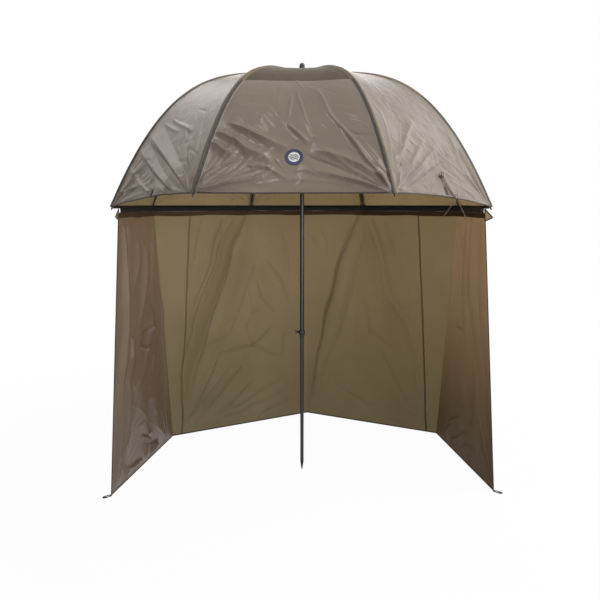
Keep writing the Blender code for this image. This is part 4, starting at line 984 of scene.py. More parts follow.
def gore_creases(gore):
    """Folds of one gore, in metres."""
    rng = np.random.default_rng(400 + gore)
    left, right = (-HEM_HALF, GORE_LENGTH), (HEM_HALF, GORE_LENGTH)
    seen = LONG_CREASES.get(gore, ())
    lines = [(points, width / 1000, CREASE_GAIN * height / 1000) for points, width, height in seen]
    share = SMALL_SHARE.get(gore, SMALL_SHARE_BEHIND)
    lines += fan(rng, left, 0.50, 6, 72, 11, 0.008, 0.0062 * share)
    lines += fan(rng, right, 0.50, 108, 174, 11, 0.008, 0.0062 * share)
    lines += scattered(rng, 34, (-0.32, 0.30, 1.06, 1.16), 0.07, 80, 0.005, 0.0036)
    lines += scattered(rng, 34, (-0.30, 0.24, 0.72, 1.10), 0.12, -38, 0.006, 0.0052 * share)
    lines += scattered(rng, 14, (-0.22, 0.20, 0.40, 0.80), 0.20, -60, 0.005, 0.0026 * share)
    return lines if seen else lines + list(HIDDEN_CREASES)


# where the trim lies, the cloth is kept smooth: gore, x, y and radius in metres
SMOOTH_SPOTS = ((FRONT_GORE, 0.0, 1.020, 0.052), (RIGHT_GORE, 0.014, 1.060, 0.040),
                (RIGHT_GORE, 0.045, 1.120, 0.050), (RIGHT_GORE, 0.013, 1.130, 0.034),
                (LEFT_GORE, 0.013, 1.145, 0.034))
print("creases of the front gore:", len(gore_creases(FRONT_GORE)))

# %% [markdown]
# A gore is the cloth between two ribs. Each is worked out whole, creases and all, as one grid of
# points and normals. A Displace modifier could raise the creases, but here the cloth also has to
# be held flat at its ribs and at its hem, and smooth under the trim.

# %% Gores
GORE_ROWS = 230
HALF_GORE_COLUMNS = 70
CLOTH_SHOWN_T = 0.0012
CLOSER_ROWS = 0.16
WAVES = (0.0030, 0.11)  # height and size of the soft waves between the creases
WRINKLES = (0.0012, 0.035)
RIB_ZONE = 0.035  # within this of a rib the cloth is held flat
HUB_FLAT = 0.03
HUB_ZONE = 0.15
HEM_ZONE_HELD = 0.02
HEM_HELD = 0.55  # share of a crease that the stitched hem takes away


def upward_normals(grid):
    normal = grid_normals(grid)
    return -normal if normal[GORE_ROWS // 2, HALF_GORE_COLUMNS, 2] < 0 else normal


def whole_gore(gore):
    """Outer face of the cloth between two ribs, and its normals."""
    share = np.linspace(0, 1, GORE_ROWS)
    t = share + CLOSER_ROWS * np.sin(math.pi * share)  # closer rows towards the hem
    u = np.linspace(0, 1, 2 * HALF_GORE_COLUMNS + 1)
    grid = gore_base(gore, t, u, CLOTH_T)
    middle = grid[:, HALF_GORE_COLUMNS]
    y = reach_along(middle)[:, None] + 0 * u
    wide = np.linalg.norm(grid[:, -1] - grid[:, 0], axis=1)[:, None]
    x = (u - 0.5)[None, :] * wide
    crease = ridges(x, y, gore_creases(gore), wander=0.006)
    if gore == LEFT_GORE:
        crease += taut_folds(x, y, TAUT_STREAKS)
    crease += WAVES[0] * soft_noise(x, y * 0.7, WAVES[1], 70 + gore) * np.clip(y, 0, 1)
    crease += WRINKLES[0] * (0.5 - np.abs(soft_noise(x, y * 0.7, WRINKLES[1], 90 + gore)))
    for spot_gore, x0, y0, radius in SMOOTH_SPOTS:
        if spot_gore == gore:
            crease *= 1 - np.exp(-((np.hypot(x - x0, y - y0) / radius) ** 4))
    from_rib = (0.5 * wide - np.abs(x)) / RIB_ZONE
    held = np.clip(from_rib, 0, 1) ** 0.7 * np.clip((y - HUB_FLAT) / HUB_ZONE, 0, 1)
    hem = 1 - HEM_HELD * np.clip((y - y[-1] + HEM_ZONE_HELD) / HEM_ZONE_HELD, 0, 1)
    grid = grid + upward_normals(grid) * (crease * held * hem)[..., None]
    rings = [on_rib_plane(k, np.array((CLOTH_HOLE_R, HUB_Z + CROWN_TOP + GAP + CLOTH_T)))
             for k in (gore, gore + 1)]
    hole = (1 - u)[:, None] * rings[0] + u[:, None] * rings[1]
    grid = np.concatenate((hole[None], grid))
    return grid, upward_normals(grid)


GORES = [whole_gore(g) for g in range(RIBS)]
print("gore grid:", GORES[0][0].shape[:2])


# %% [markdown]
# The canopy folds with the ribs, so it is made as eight sectors, one on each rib, cut from the
# gores along their middles. Neighbours share their normals there and read as one sheet. One
# sheet over all the ribs would be simpler, but it could not follow eight bodies that turn about
# eight axes.


def sector_of(k):
    """Outer face and normals of the sector on rib k: half the gore before it and half of its own."""
    before, after = GORES[(k - 1) % RIBS], GORES[k]
    middle = HALF_GORE_COLUMNS
    grid = np.concatenate((before[0][:, middle:], after[0][:, 1 : middle + 1]), axis=1)
    normal = np.concatenate((before[1][:, middle:-1], (before[1][:, -1:] + after[1][:, :1]),
                             after[1][:, 1 : middle + 1]), axis=1)
    return grid, normal / np.linalg.norm(normal, axis=2, keepdims=True)


def fold_in(obj):
    """Gives the piece a mesh of its own."""
    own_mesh(obj)


def rib_piece(name, mesh, k, stands_for=()):
    """A piece of cloth or trim that rides on rib k."""
    obj = piece(name, mesh, f"rib_body_{k + 1}", stands_for)
    fold_in(obj)
    return obj


# towards the crown the front gore has a painted shade, down to this far from the hub
CROWN_SHADE_Y = 0.59


def paint_crown_shade(mesh, k, outer):
    """Gives the front gore's half of a front sector its painted shade, near the crown."""
    down = metres_along(outer, 0)[1:, 0 if k == 0 else -1]
    columns = np.arange(outer.shape[1] - 1)
    front = columns < HALF_GORE_COLUMNS if k == 0 else columns >= HALF_GORE_COLUMNS
    slots = np.empty(len(mesh.polygons), int)
    mesh.polygons.foreach_get("material_index", slots)
    slots[: len(down) * len(columns)] = (2 * ((down < CROWN_SHADE_Y)[:, None] & front[None])).ravel()
    mesh.materials.append(CROWN_PAINTED_SHADE)
    mesh.polygons.foreach_set("material_index", slots)


def canopy_sector(k):
    outer, normal = sector_of(k)
    inner = outer - CLOTH_SHOWN_T * normal
    name = f"canopy_cloth_{k + 1}"
    mesh = sheet_mesh(name, outer, inner, (CANOPY_OUT, CANOPY_IN), normals=normal)
    if is_front(k):
        paint_crown_shade(mesh, k, outer)
    obj = rib_piece(name, mesh, k, (f"canopy_{k + 1}",))
    width = length_of(outer[-1])
    step = np.linalg.norm(np.diff(outer, axis=1), axis=2).sum(axis=1)
    down = np.linalg.norm(np.diff(outer[:, HALF_GORE_COLUMNS], axis=0), axis=1)
    area = float(((step[1:] + step[:-1]) / 2 * down).sum())
    return obj, width, float(down.sum()), area


for k in range(RIBS):
    obj, width, length, area = canopy_sector(k)
    print(obj.name, "cut", round(width, 3), "by", round(length, 3), "m, area", round(area, 3))

# %% [markdown]
# Seams over the ribs. Two gores meet on each rib in a raised seam: a low ridge, dark on the side
# that faces the opening, where the tape shows and painted shade darkens it, and olive on the other,
# where the olive paints shade as well, with a painted highlight where the cloth is pulled along both
# edges and a row of stitches along each side. Each seam is a thin sheet worked out from the same
# gores, so it lies on the cloth on both sides of its rib. A strip laid on with a Shrinkwrap modifier
# would slide off the ridge.

# %% Seams over the ribs
SEAM_REACH = 0.0180  # to each side of the rib
SEAM_RIDGE = 0.0052
SEAM_FULL = 0.15  # the ridge has its whole height where half a gore is this wide
SEAM_SHARE = 0.42  # and a seam never takes more than this share of that width
SEAM_ROUND = 1.3
SEAM_SUNK = 0.0002
TAPE_T = 0.0006
TAPE_START = 8  # rows left free under the cap
SEAM_COLUMNS = 13
# 0 olive with painted shade, 1 dark tape in painted shade, 2 painted highlight
SEAM_LOOK = (2, 0, 0, 0, 0, 0, 0, 1, 1, 1, 1, 2)  # finish of each column, from the far side round


def seam_grid(k, half, height, ridge):
    """A strip on the outer cloth, half to each side of rib k, with a ridge along its middle."""
    before, after = GORES[(k - 1) % RIBS], GORES[k]
    across = np.linspace(-half, half, SEAM_COLUMNS)
    strip = np.empty((GORE_ROWS + 1 - TAPE_START, SEAM_COLUMNS, 3))
    for n, row in enumerate(range(TAPE_START, GORE_ROWS + 1)):
        for (grid, normal), step in ((before, -1), (after, 1)):
            line = grid[row, ::step]
            way = normal[row, ::step]
            reach = reach_along(line)
            limit = min(half, SEAM_SHARE * reach[-1])
            for j, offset in enumerate(across):
                if offset * step < 0:
                    continue
                share = abs(offset) / half
                spot = [np.interp(share * limit, reach, line[:, axis]) for axis in range(3)]
                out = [np.interp(share * limit, reach, way[:, axis]) for axis in range(3)]
                lift = height + ridge * (1 - share**SEAM_ROUND) * min(1.0, reach[-1] / SEAM_FULL)
                strip[n, j] = np.array(spot) + lift * np.array(out)
    return strip


def rib_seam(k):
    """The seam on rib k. It returns the two lines that its stitches follow."""
    upper = seam_grid(k, SEAM_REACH, TAPE_T, SEAM_RIDGE)
    lower = seam_grid(k, SEAM_REACH, -SEAM_SUNK, 0)
    mesh = sheet_mesh(f"rib_seam_{k + 1}", upper, lower, (SEAM_OLIVE_AND_SHADE, SEAM_TAPE_IN_SHADE, SEAM_PAINTED_HIGHLIGHT))
    look = SEAM_LOOK if k >= RIBS // 2 else SEAM_LOOK[::-1]
    slots = np.zeros(len(mesh.polygons), int)
    rows = upper.shape[0] - 1
    # over the crown the seam is olive all across, without its dark side or its painted highlight
    below = metres_along(upper, 0)[1:, SEAM_COLUMNS // 2] > CROWN_SHADE_Y  # plain over the crown
    slots[: rows * (SEAM_COLUMNS - 1)] = (np.array(look)[None] * below[:, None]).ravel()
    mesh.polygons.foreach_set("material_index", slots)
    mesh.set_sharp_from_angle(angle=SHARP_SEAM)
    rib_piece(f"rib_seam_{k + 1}", mesh, k)
    edges = seam_grid(k, SEAM_REACH, TAPE_T + SEAM_SUNK, 0)
    return [edges[:, 1], edges[:, -2]]


print("seams:", RIBS, "of", round(2000 * SEAM_REACH), "mm")

# %% [markdown]
# The hem is turned up and stitched twice, and a thin dark binding closes its edge. A bevelled
# curve could be the binding. Here it is a sheet on both sides of the cloth, from the cloth's own
# rows, so it keeps every wave of the hem.

# %% Hem
HEM_STITCHES = (0.007, 0.016)  # up the cloth from its edge
BINDING_RISE = 0.0045
BINDING_T = 0.0005
BINDING_DROP = 0.0006
THREAD_LIFT = 0.0003
HEM_DARK = webbing_finish("dark_hem_edge", screen_colour(52, 44, 40), 220.0)


def hem_line(grid, normal, lift, height):
    """A line along the hem of a sector, a little up the cloth and a little off it."""
    down = np.linalg.norm(np.diff(grid[:, HALF_GORE_COLUMNS // 2], axis=0), axis=1)
    rise = np.insert(np.cumsum(down[::-1]), 0, 0)
    n = int(np.searchsorted(rise, lift, side="right")) - 1
    row = len(grid) - 1 - n
    share = (lift - rise[n]) / (rise[n + 1] - rise[n])
    line = grid[row] * (1 - share) + grid[row - 1] * share
    return line + height * normal[row]


def hem_binding(k):
    grid, normal = sector_of(k)
    faces = []
    for height in (BINDING_T, -CLOTH_SHOWN_T - BINDING_T):
        face = [hem_line(grid, normal, h, height) for h in (BINDING_RISE, BINDING_RISE / 2, 0)]
        face[-1][:, 2] -= BINDING_DROP
        faces.append(np.array(face))
    mesh = sheet_mesh(f"hem_edge_{k + 1}", *faces, (HEM_DARK,))
    rib_piece(f"hem_edge_{k + 1}", mesh, k)


for k in range(RIBS):
    grid, normal = sector_of(k)
    lines = rib_seam(k) + [hem_line(grid, normal, lift, THREAD_LIFT) for lift in HEM_STITCHES]
    stitches = bars_along(f"canopy_stitches_{k + 1}", lines, THREAD, Spacing=0.0080,
                          Bar_Length=0.0052, Bar_Width=0.0014, Bar_Height=0.0010)
    rib_piece(f"canopy_stitches_{k + 1}", stitches, k)
    hem_binding(k)
    print(f"canopy_stitches_{k + 1}:", len(stitches.vertices) // 12, "stitches")

# %% [markdown]
# Inside, each rib's end runs in a narrow black sleeve sewn to the cloth. From the front the
# sleeves of the back ribs show as black lines between the hem and the zip band. A sleeve is a
# flat pipe round the rib, with a bore, so that the wire really runs in it.

# %% Rib sleeves
SLEEVE_FROM, SLEEVE_TO = 0.80, 0.985  # shares of the rib
SLEEVE_WIDE = 0.0055
SLEEVE_DEEP = 0.0034
SLEEVE_BORE = 0.0029
SLEEVE_ROWS = 46
SLEEVE_SIDES = 16


def rib_sleeve(k):
    """A flat tube round the rib's last third: wider across than it is deep."""
    front = is_front(k)
    t = np.linspace(SLEEVE_FROM, SLEEVE_TO, SLEEVE_ROWS)
    middle = on_rib_plane(k, rib_point(t, front) - 0.0002 * rib_normal(t, front))
    out = on_rib_plane(k, rib_normal(t, front))
    side = np.array((math.cos(azimuth(k)), math.sin(azimuth(k)), 0.0))
    turn = np.arange(SLEEVE_SIDES) * math.tau / SLEEVE_SIDES
    out = np.cos(turn)[None, :, None] * out[:, None]
    side = np.sin(turn)[None, :, None] * side
    swell = np.interp(t, (SLEEVE_FROM, 0.82, 1), (0.9, 1, 1))[:, None, None]
    outer = middle[:, None] + swell * (SLEEVE_DEEP * out + SLEEVE_WIDE * side)
    inner = middle[:, None] + SLEEVE_BORE * (out + side)
    mesh = pipe_mesh(f"rib_sleeve_{k + 1}", outer, inner, BLACK_WEBBING)
    piece(f"rib_sleeve_{k + 1}", mesh, f"rib_body_{k + 1}")


for k in range(RIBS):
    rib_sleeve(k)
print("rib sleeves:", RIBS)

# %% [markdown]
# A plain round patch in navy and white is sewn low on the front gore: a ring with an embroidered
# edge round a white field, and three wavy bars. A picture on a flat disc could show it, but real
# threads stand up from the cloth. So the patch is a low turned shape and each bar a thin tube.

# %% Patch
PATCH_R = 0.036
PATCH_AT = 0.926  # share of the way down the gore
PATCH_LIFT = 0.0009
PATCH_TURNS = 64
# share of the radius, height, and finish from there to the next ring: 0 navy, 1 white
PATCH_PROFILE = ((0.0, 0.0011, 1), (0.62, 0.0011, 1), (0.63, 0.0014, 0), (0.93, 0.0015, 0),
                 (1.0, 0.0011, 0), (1.0, 0.0, 0))
PATCH_BARS = ((0.0085, 0.015), (0.0, 0.019), (-0.0085, 0.015))  # height on the patch, half length
BAR_R = 0.0015
BAR_SIDES = 8
BAR_LIFT = 0.0012
BAR_WAVE = 0.0020
NAVY = grained_finish("navy_patch_thread", screen_colour(38, 46, 74), 0.7, grain=1800.0, depth=0.0003)
WHITE = grained_finish("white_patch_field", screen_colour(222, 220, 214), 0.7, grain=1800.0,
                       depth=0.0002, wear=0.06)


def placed_mesh(name, bm, place, finishes):
    """A mesh of the shape, its faces turned outwards and moved to its place."""
    bmesh.ops.recalc_face_normals(bm, faces=bm.faces)
    bm.transform(place)
    mesh = bpy.data.meshes.new(name)
    bm.to_mesh(mesh)
    bm.free()
    for finish in finishes:
        mesh.materials.append(finish)
    return mesh


def patch_mesh(place):
    bm = bmesh.new()
    turns = [math.tau * n / PATCH_TURNS for n in range(PATCH_TURNS)]
    rings = []
    for share, height, _ in PATCH_PROFILE[1:]:
        radius = share * PATCH_R
        rings.append([bm.verts.new((radius * math.cos(a), radius * math.sin(a), height))
                      for a in turns])
    for ring, after, (_, _, slot) in zip(rings, rings[1:], PATCH_PROFILE[2:]):
        for n in range(PATCH_TURNS):
            m = (n + 1) % PATCH_TURNS
            face = bm.faces.new((ring[n], after[n], after[m], ring[m]))
            face.material_index = slot
            face.smooth = True
    centre = bm.verts.new((0, 0, PATCH_PROFILE[0][1]))
    foot = bm.verts.new((0, 0, 0))
    for n in range(PATCH_TURNS):
        m = (n + 1) % PATCH_TURNS
        bm.faces.new((centre, rings[0][n], rings[0][m])).material_index = 1
        bm.faces.new((foot, rings[-1][m], rings[-1][n]))
    return placed_mesh("patch", bm, place, (NAVY, WHITE))


def wavy_bars(place):
    """Three low embroidered waves inside the ring."""
    bm = bmesh.new()
    for middle, half in PATCH_BARS:
        across = np.linspace(-half, half, 25)
        wave = middle + BAR_WAVE * np.sin(across / half * math.pi * 1.5)
        line = np.stack((across, wave, np.full_like(across, BAR_LIFT)), axis=1)
        rings = tube_points(line, BAR_R, BAR_SIDES, up=(0, 0, 1))
        rows = [[bm.verts.new(p) for p in ring] for ring in rings]
        for ring, after in zip(rows, rows[1:]):
            for n in range(BAR_SIDES):
                m = (n + 1) % BAR_SIDES
                bm.faces.new((ring[n], ring[m], after[m], after[n])).smooth = True
        bm.faces.new(rows[0])
        bm.faces.new(list(reversed(rows[-1])))
    return placed_mesh("patch_waves", bm, place, (NAVY,))


PATCH_PLACE = place_on_cloth(FRONT_GORE, PATCH_AT, 0.5, PATCH_LIFT)
rib_piece("patch", patch_mesh(PATCH_PLACE), 0, ("badge",))
rib_piece("patch_waves", wavy_bars(PATCH_PLACE), 0)
print("patch at", [round(v, 3) for v in PATCH_PLACE.translation])

# %% [markdown]
# The webbing bridge and the tabs at the hem keep the shapes that the frame gives them. The guy
# cord is a round tube along its route. One piece would be simpler, but it is made as two that
# meet where it turns over the bridge.

# %% Bridge, tabs and guy cord
CORD_SIDES = 10
BRIDGE_LIFT = GAP * 1.6
BRIDGE_PLACE = place_on_cloth(RIGHT_GORE, BRIDGE_AT, BRIDGE_ACROSS, BRIDGE_LIFT)
fold_in(dressed("cord_webbing_bridge", "cord_bridge", "rib_body_1", BLACK_WEBBING))
fold_in(dressed("hem_tab_at_left", "hem_tab_left", "rib_body_8", BLACK_WEBBING))
fold_in(dressed("hem_tab_at_right", "hem_tab_right", "rib_body_2", BLACK_WEBBING))


def guy_cord(name, route, replaced):
    points = smooth_route(route, CORD_STEPS) / 1000
    line = np.array([tuple(BRIDGE_PLACE @ Vector((a, -b, c))) for a, b, c in points])
    mesh = tube_mesh(name, line, CORD_R, CORD_SIDES, CORD_BROWN)
    obj = piece(name, mesh, "rib_body_1", replaced)
    print(name, "length", round(length_of(line), 3), "m")
    return obj


fold_in(guy_cord("guy_cord_short_tail", CORD_ROUTE[TURN_POINT::-1], ()))
fold_in(guy_cord("guy_cord_doubled", CORD_ROUTE[TURN_POINT:], ("guy_cord",)))

# %% [markdown]
# Wall. Three panels hang from the zip band to five pegs. The cloth is pulled from each rib's end
# to the pegs, which leaves long tension folds, and it is slack between them. A cloth simulation
# pinned at band and pegs would give such folds in other places. Here the panels are worked out on
# one fine grid each, from the same lines as the frame's own wall, with the folds that show on top:
# soft ones near the band, sharp ones near the pegs, and the crossed creases left by packing.

# %% Lines of the wall
def chord_corner(k, radius):
    side = outward(k)
    return np.array((radius * side[0], radius * side[1]))


def rim_line(start):
    """From the left front end round the back to the right front end, at the band's outer face."""
    corners = [chord_corner(k, BAND_R) for k in (6, 5, 4, 3, 2, 1)]
    left = corners[0] + start * (corners[1] - corners[0])
    right = corners[5] + start * (corners[4] - corners[5])
    return [left] + corners[1:5] + [right]


def offset_line(points, distance):
    """The line moved to its left, mitred at its corners."""
    way = np.diff(points, axis=0)
    way = way / np.linalg.norm(way, axis=1, keepdims=True)
    before = np.concatenate((way[:1], way))
    after = np.concatenate((way, way[-1:]))
    n1 = np.stack((-before[:, 1], before[:, 0]), axis=1)
    n2 = np.stack((-after[:, 1], after[:, 0]), axis=1)
    middle = n1 + n2
    middle /= np.linalg.norm(middle, axis=1, keepdims=True)
    return points + middle * (distance / (middle * n1).sum(axis=1))[:, None]


RIM = rim_line(WALL_START)
BACK_WIDTH = 3 * float(np.linalg.norm(RIM[2] - RIM[3]))
print("rim corners:", len(RIM), "back wall", round(BACK_WIDTH, 3), "m wide at its top")

# %% [markdown]
# The back wall's sharper folds are listed as the canopy's creases were, with small ones from a
# fixed seed between them.

# %% Folds of the back wall
BACK_GAIN = 1.7  # as with the canopy's creases
# as read from the photograph: points in metres (x along the wall from its left
# corner, y down from the band), then the half-width and the height in millimetres
BACK_FOLDS = (
    (((0.67, 0.04), (0.54, 0.23), (0.36, 0.61), (0.17, 0.99), (0.06, 1.34)), 20, 24),
    (((0.60, 0.05), (0.48, 0.22), (0.30, 0.60), (0.13, 0.99), (0.05, 1.34)), 24, -24),
    (((0.50, 0.05), (0.43, 0.22), (0.31, 0.48), (0.21, 0.63)), 13, -11),
    (((0.47, 0.06), (0.41, 0.20), (0.30, 0.44)), 14, 10),
    (((0.34, 0.06), (0.27, 0.30), (0.21, 0.40)), 14, -8),
    (((0.40, 0.91), (0.19, 1.20), (0.07, 1.36)), 12, 10),
    (((0.48, 1.03), (0.24, 1.23), (0.08, 1.37)), 12, -10),
    (((0.57, 1.02), (0.27, 1.25), (0.11, 1.38)), 11, 10),
    (((0.65, 1.12), (0.36, 1.31), (0.31, 1.37)), 9, 8),
    (((0.36, 1.31), (0.61, 1.24), (0.92, 1.10)), 8, 8),
    (((0.39, 1.34), (0.72, 1.27), (0.97, 1.17)), 8, 8),
    (((0.64, 1.39), (0.77, 1.32), (0.97, 1.27)), 8, 7),
    (((0.48, 0.79), (0.60, 0.56), (0.77, 0.28)), 9, 8),
    (((0.28, 0.84), (0.40, 0.81), (0.49, 0.79)), 8, 7),
    (((0.37, 0.92), (0.56, 0.89), (0.65, 0.88), (0.87, 0.74)), 8, 10),
    (((0.73, 0.43), (0.77, 0.57), (0.88, 0.69)), 8, 7),
    (((0.65, 0.50), (0.68, 0.65), (0.81, 0.66)), 8, 6),
    (((0.68, 0.65), (0.61, 0.74), (0.66, 0.88), (0.87, 0.98)), 8, 7),
    (((0.92, 0.80), (0.89, 0.96), (0.82, 0.98)), 8, 6),
    (((0.82, 0.33), (0.92, 0.49), (0.96, 0.65)), 10, 7),
    (((0.89, 0.09), (0.94, 0.29), (0.97, 0.58)), 14, -8),
    (((1.43, 0.04), (1.34, 0.32), (1.26, 0.68), (1.19, 0.95), (1.13, 1.38)), 17, 15),
    (((1.48, 0.06), (1.43, 0.40), (1.36, 0.72), (1.23, 1.04), (1.14, 1.38)), 18, -14),
    (((1.36, 0.10), (1.28, 0.40), (1.18, 0.93), (1.14, 1.21)), 15, -11),
    (((1.50, 0.05), (1.62, 0.31), (1.70, 0.55), (1.84, 0.69), (1.96, 0.89), (2.06, 1.16)), 15, -13),
    (((1.55, 0.05), (1.68, 0.31), (1.77, 0.55), (1.89, 0.69)), 16, 11),
    (((1.66, 0.05), (1.74, 0.25), (1.82, 0.39), (1.90, 0.58)), 14, -8),
    (((1.53, 0.57), (1.59, 0.79), (1.89, 0.90)), 8, 6),
    (((1.77, 0.70), (1.83, 0.60), (1.90, 0.57)), 8, 5),
    (((1.34, 1.17), (1.75, 1.31)), 8, 6),
    (((1.09, 0.10), (1.22, 0.32)), 8, 5),
    (((1.19, 0.09), (1.25, 0.33)), 8, 5),
    (((1.70, 0.90), (1.92, 1.21), (2.01, 1.37)), 14, 7),
)


def in_metres(lines, gain):
    """Folds given in millimetres, with their heights raised by a gain."""
    return [(points, width / 1000, gain * height / 1000) for points, width, height in lines]


def back_creases():
    """The folds read from the photograph, with small ones from a fixed seed between them."""
    rng = np.random.default_rng(77)
    width, drop = BACK_WIDTH, WALL_TOP
    peg_b, peg_c, peg_d = (0.02, drop), (0.5 * width, drop), (width - 0.02, drop)
    rib_l, rib_r = (0.335 * width, 0), (0.665 * width, 0)
    lines = in_metres(BACK_FOLDS, BACK_GAIN)
    lines += fan(rng, peg_b, 0.8, 4, 60, 9, 0.010, 0.0040)
    lines += fan(rng, peg_d, 0.8, 112, 174, 12, 0.010, 0.0044)
    lines += fan(rng, peg_c, 0.5, 140, 176, 6, 0.009, 0.0030)
    lines += fan(rng, peg_c, 0.5, 8, 70, 6, 0.009, 0.0026)
    lines += fan(rng, rib_l, 0.6, -110, -50, 6, 0.014, 0.0050)
    lines += fan(rng, rib_r, 0.6, -140, -50, 6, 0.014, 0.0040)
    lines += scattered(rng, 14, (0.45, 0.95, 0.45, 0.95), 0.22, 30, 0.008, 0.0030)
    lines += scattered(rng, 10, (1.1, 1.9, 0.45, 1.0), 0.2, -35, 0.008, 0.0024)
    lines += scattered(rng, 24, (0.3, 1.05, 1.05, 1.36), 0.26, 22, 0.008, 0.0036)
    lines += scattered(rng, 14, (1.2, 2.1, 1.1, 1.36), 0.24, 160, 0.008, 0.0026)
    return lines


print("folds of the back wall:", len(back_creases()))

# %% [markdown]
# The back wall is the widest panel, three gores wide. Four broad folds run from its ribs' ends to
# the pegs, and the sharper ones lie over them. A plane with a Displace modifier would need its
# foot bent to the pegs first, so the grid is written from the band's line to the pegs' line, and
# its points are then moved inwards by the folds.

# %% Back wall
# tension folds: share of the width at the top and at the foot, depth and half-width
FOLDS = (
    (0.335, 0.03, 0.034, 0.085),
    (0.330, 0.49, 0.016, 0.070),
    (0.665, 0.51, 0.024, 0.070),
    (0.670, 0.96, 0.034, 0.085),
)
BACK_COLUMNS = 264
WALL_ROWS = 184
WALL_BELLY = 0.022  # how far the slack cloth between two ribs stands out


def flat_wall(high, low, rows):
    """Straight threads from a top line to a bottom line."""
    v = np.linspace(0, 1, rows + 1)[:, None, None]
    flat = (1 - v) * high[None] + v * low[None]
    return flat, v[..., 0]


def line_at(corners, shares):
    """Places along a line of corners, each stretch taken as an equal share."""
    spots = np.linspace(0, 1, len(corners))
    places = [np.interp(shares, spots, [c[axis] for c in corners]) for axis in (0, 1)]
    return np.stack(places, axis=1)


def held_edges(y, share, near_edge, far_edge):
    """1 where the cloth is free, down to 0 at the band, at the ground and at both side edges."""
    near = np.clip(y / 0.04, 0, 1) * np.clip((WALL_TOP - y) / 0.05, 0, 1)
    return near * np.clip(share / near_edge, 0, 1) * np.clip((1 - share) / far_edge, 0, 1)


def raised(flat, depth, v):
    """The panel's outer face in space: threads moved inwards by a depth."""
    inward = -flat / np.linalg.norm(flat, axis=2, keepdims=True)
    spots = flat + inward * depth[..., None]
    height = np.broadcast_to(WALL_TOP * (1 - v), depth.shape)
    return np.concatenate((spots, height[..., None]), axis=2)


def back_wall():
    """The back panel's outer face, from its left corner (share 0) to its right one (share 1)."""
    share = np.linspace(0, 1, BACK_COLUMNS + 1)
    flat, v = flat_wall(line_at(RIM[1:5], share), line_at(PEGS[1:4], share), WALL_ROWS)
    depth = np.zeros(flat.shape[:2])
    for at_top, at_foot, deep, half in FOLDS:
        line = at_top + (at_foot - at_top) * v
        spread = half * (0.55 + 0.45 * np.sin(math.pi * v)) / BACK_WIDTH
        depth += deep * np.exp(-(((share - line) / spread) ** 2))
    depth -= WALL_BELLY * np.sin(3 * math.pi * share) ** 2 * np.sin(math.pi * v)
    edge = np.clip(np.sin(math.pi * share), 0, 1) ** 0.5
    depth *= np.clip(np.sin(math.pi * v), 0, 1) ** 0.6 * edge
    x, y = share[None] * BACK_WIDTH + 0 * v, v * WALL_TOP + 0 * share
    fine = ridges(x, y, back_creases(), wander=0.010)
    fine += 0.0030 * soft_noise(x, y * 0.5, 0.16, 31) + 0.0016 * soft_noise(x, y * 0.6, 0.05, 33)
    return raised(flat, depth + fine * held_edges(y, share, 0.03, 0.03), v)


print("back wall grid:", WALL_ROWS + 1, "by", BACK_COLUMNS + 1)

# %% [markdown]
# The side walls are one gore wide and open at the front. They are made in the same way. Their
# cloth is pulled less, so they hang in upright folds, most of all at the left.

# %% Side walls
SIDE_COLUMNS = 130
SIDE_WIDTH = 0.8
LEFT_GAIN = 2.1
RIGHT_GAIN = 1.4
# as for the back wall, with x from the front edge
LEFT_FOLDS = (
    (((0.07, 0.07), (0.08, 0.34), (0.08, 0.58), (0.05, 0.87), (0.04, 1.40)), 26, 18),
    (((0.15, 0.08), (0.16, 0.35), (0.15, 0.58), (0.15, 0.72)), 20, -16),
    (((0.30, 0.16), (0.24, 0.29), (0.21, 0.39)), 18, 14),
    (((0.41, 0.20), (0.33, 0.45), (0.29, 0.61)), 22, 18),
    (((0.53, 0.52), (0.45, 0.68), (0.34, 0.85), (0.23, 0.92)), 16, 15),
    (((0.27, 0.67), (0.47, 0.64), (0.69, 0.64)), 8, 9),
    (((0.30, 0.71), (0.44, 0.76)), 8, 8),
    (((0.60, 0.72), (0.53, 0.81), (0.52, 0.89)), 9, 9),
    (((0.21, 0.65), (0.19, 0.75), (0.12, 0.86), (0.14, 1.03), (0.11, 1.18), (0.07, 1.39)), 16, 17),
    (((0.34, 1.22), (0.51, 1.30)), 8, 10),
    (((0.44, 1.30), (0.62, 1.35)), 8, 10),
    (((0.39, 1.27), (0.43, 1.38)), 8, 10),
    (((0.56, 1.32), (0.50, 1.39)), 8, 10),
    (((0.18, 1.34), (0.29, 1.35), (0.41, 1.38)), 8, 10),
    (((0.13, 1.30), (0.20, 1.38)), 8, 9),
    (((0.62, 0.10), (0.56, 0.45), (0.54, 0.70)), 26, -14),
    (((0.63, 0.94), (0.51, 1.06), (0.51, 1.25)), 24, -12),
    (((0.74, 0.30), (0.72, 0.80), (0.80, 1.20)), 24, 10),
)
RIGHT_FOLDS = (
    (((0.39, 0.04), (0.37, 0.66), (0.34, 0.97)), 18, 10),
    (((0.26, 0.03), (0.28, 0.33), (0.19, 0.68), (0.14, 0.92)), 18, 12),
    (((0.09, 0.05), (0.07, 0.41), (0.03, 0.88), (0.03, 1.28)), 20, 13),
    (((0.49, 0.64), (0.34, 0.65)), 8, 6),
    (((0.50, 0.14), (0.50, 0.57), (0.60, 0.93)), 20, -10),
    (((0.21, 0.83), (0.26, 1.15)), 18, -8),
    (((0.66, 1.26), (0.47, 1.16)), 8, 6),
    (((0.61, 1.35), (0.35, 1.22)), 8, 6),
    (((0.50, 1.37), (0.26, 1.26)), 8, 5),
)


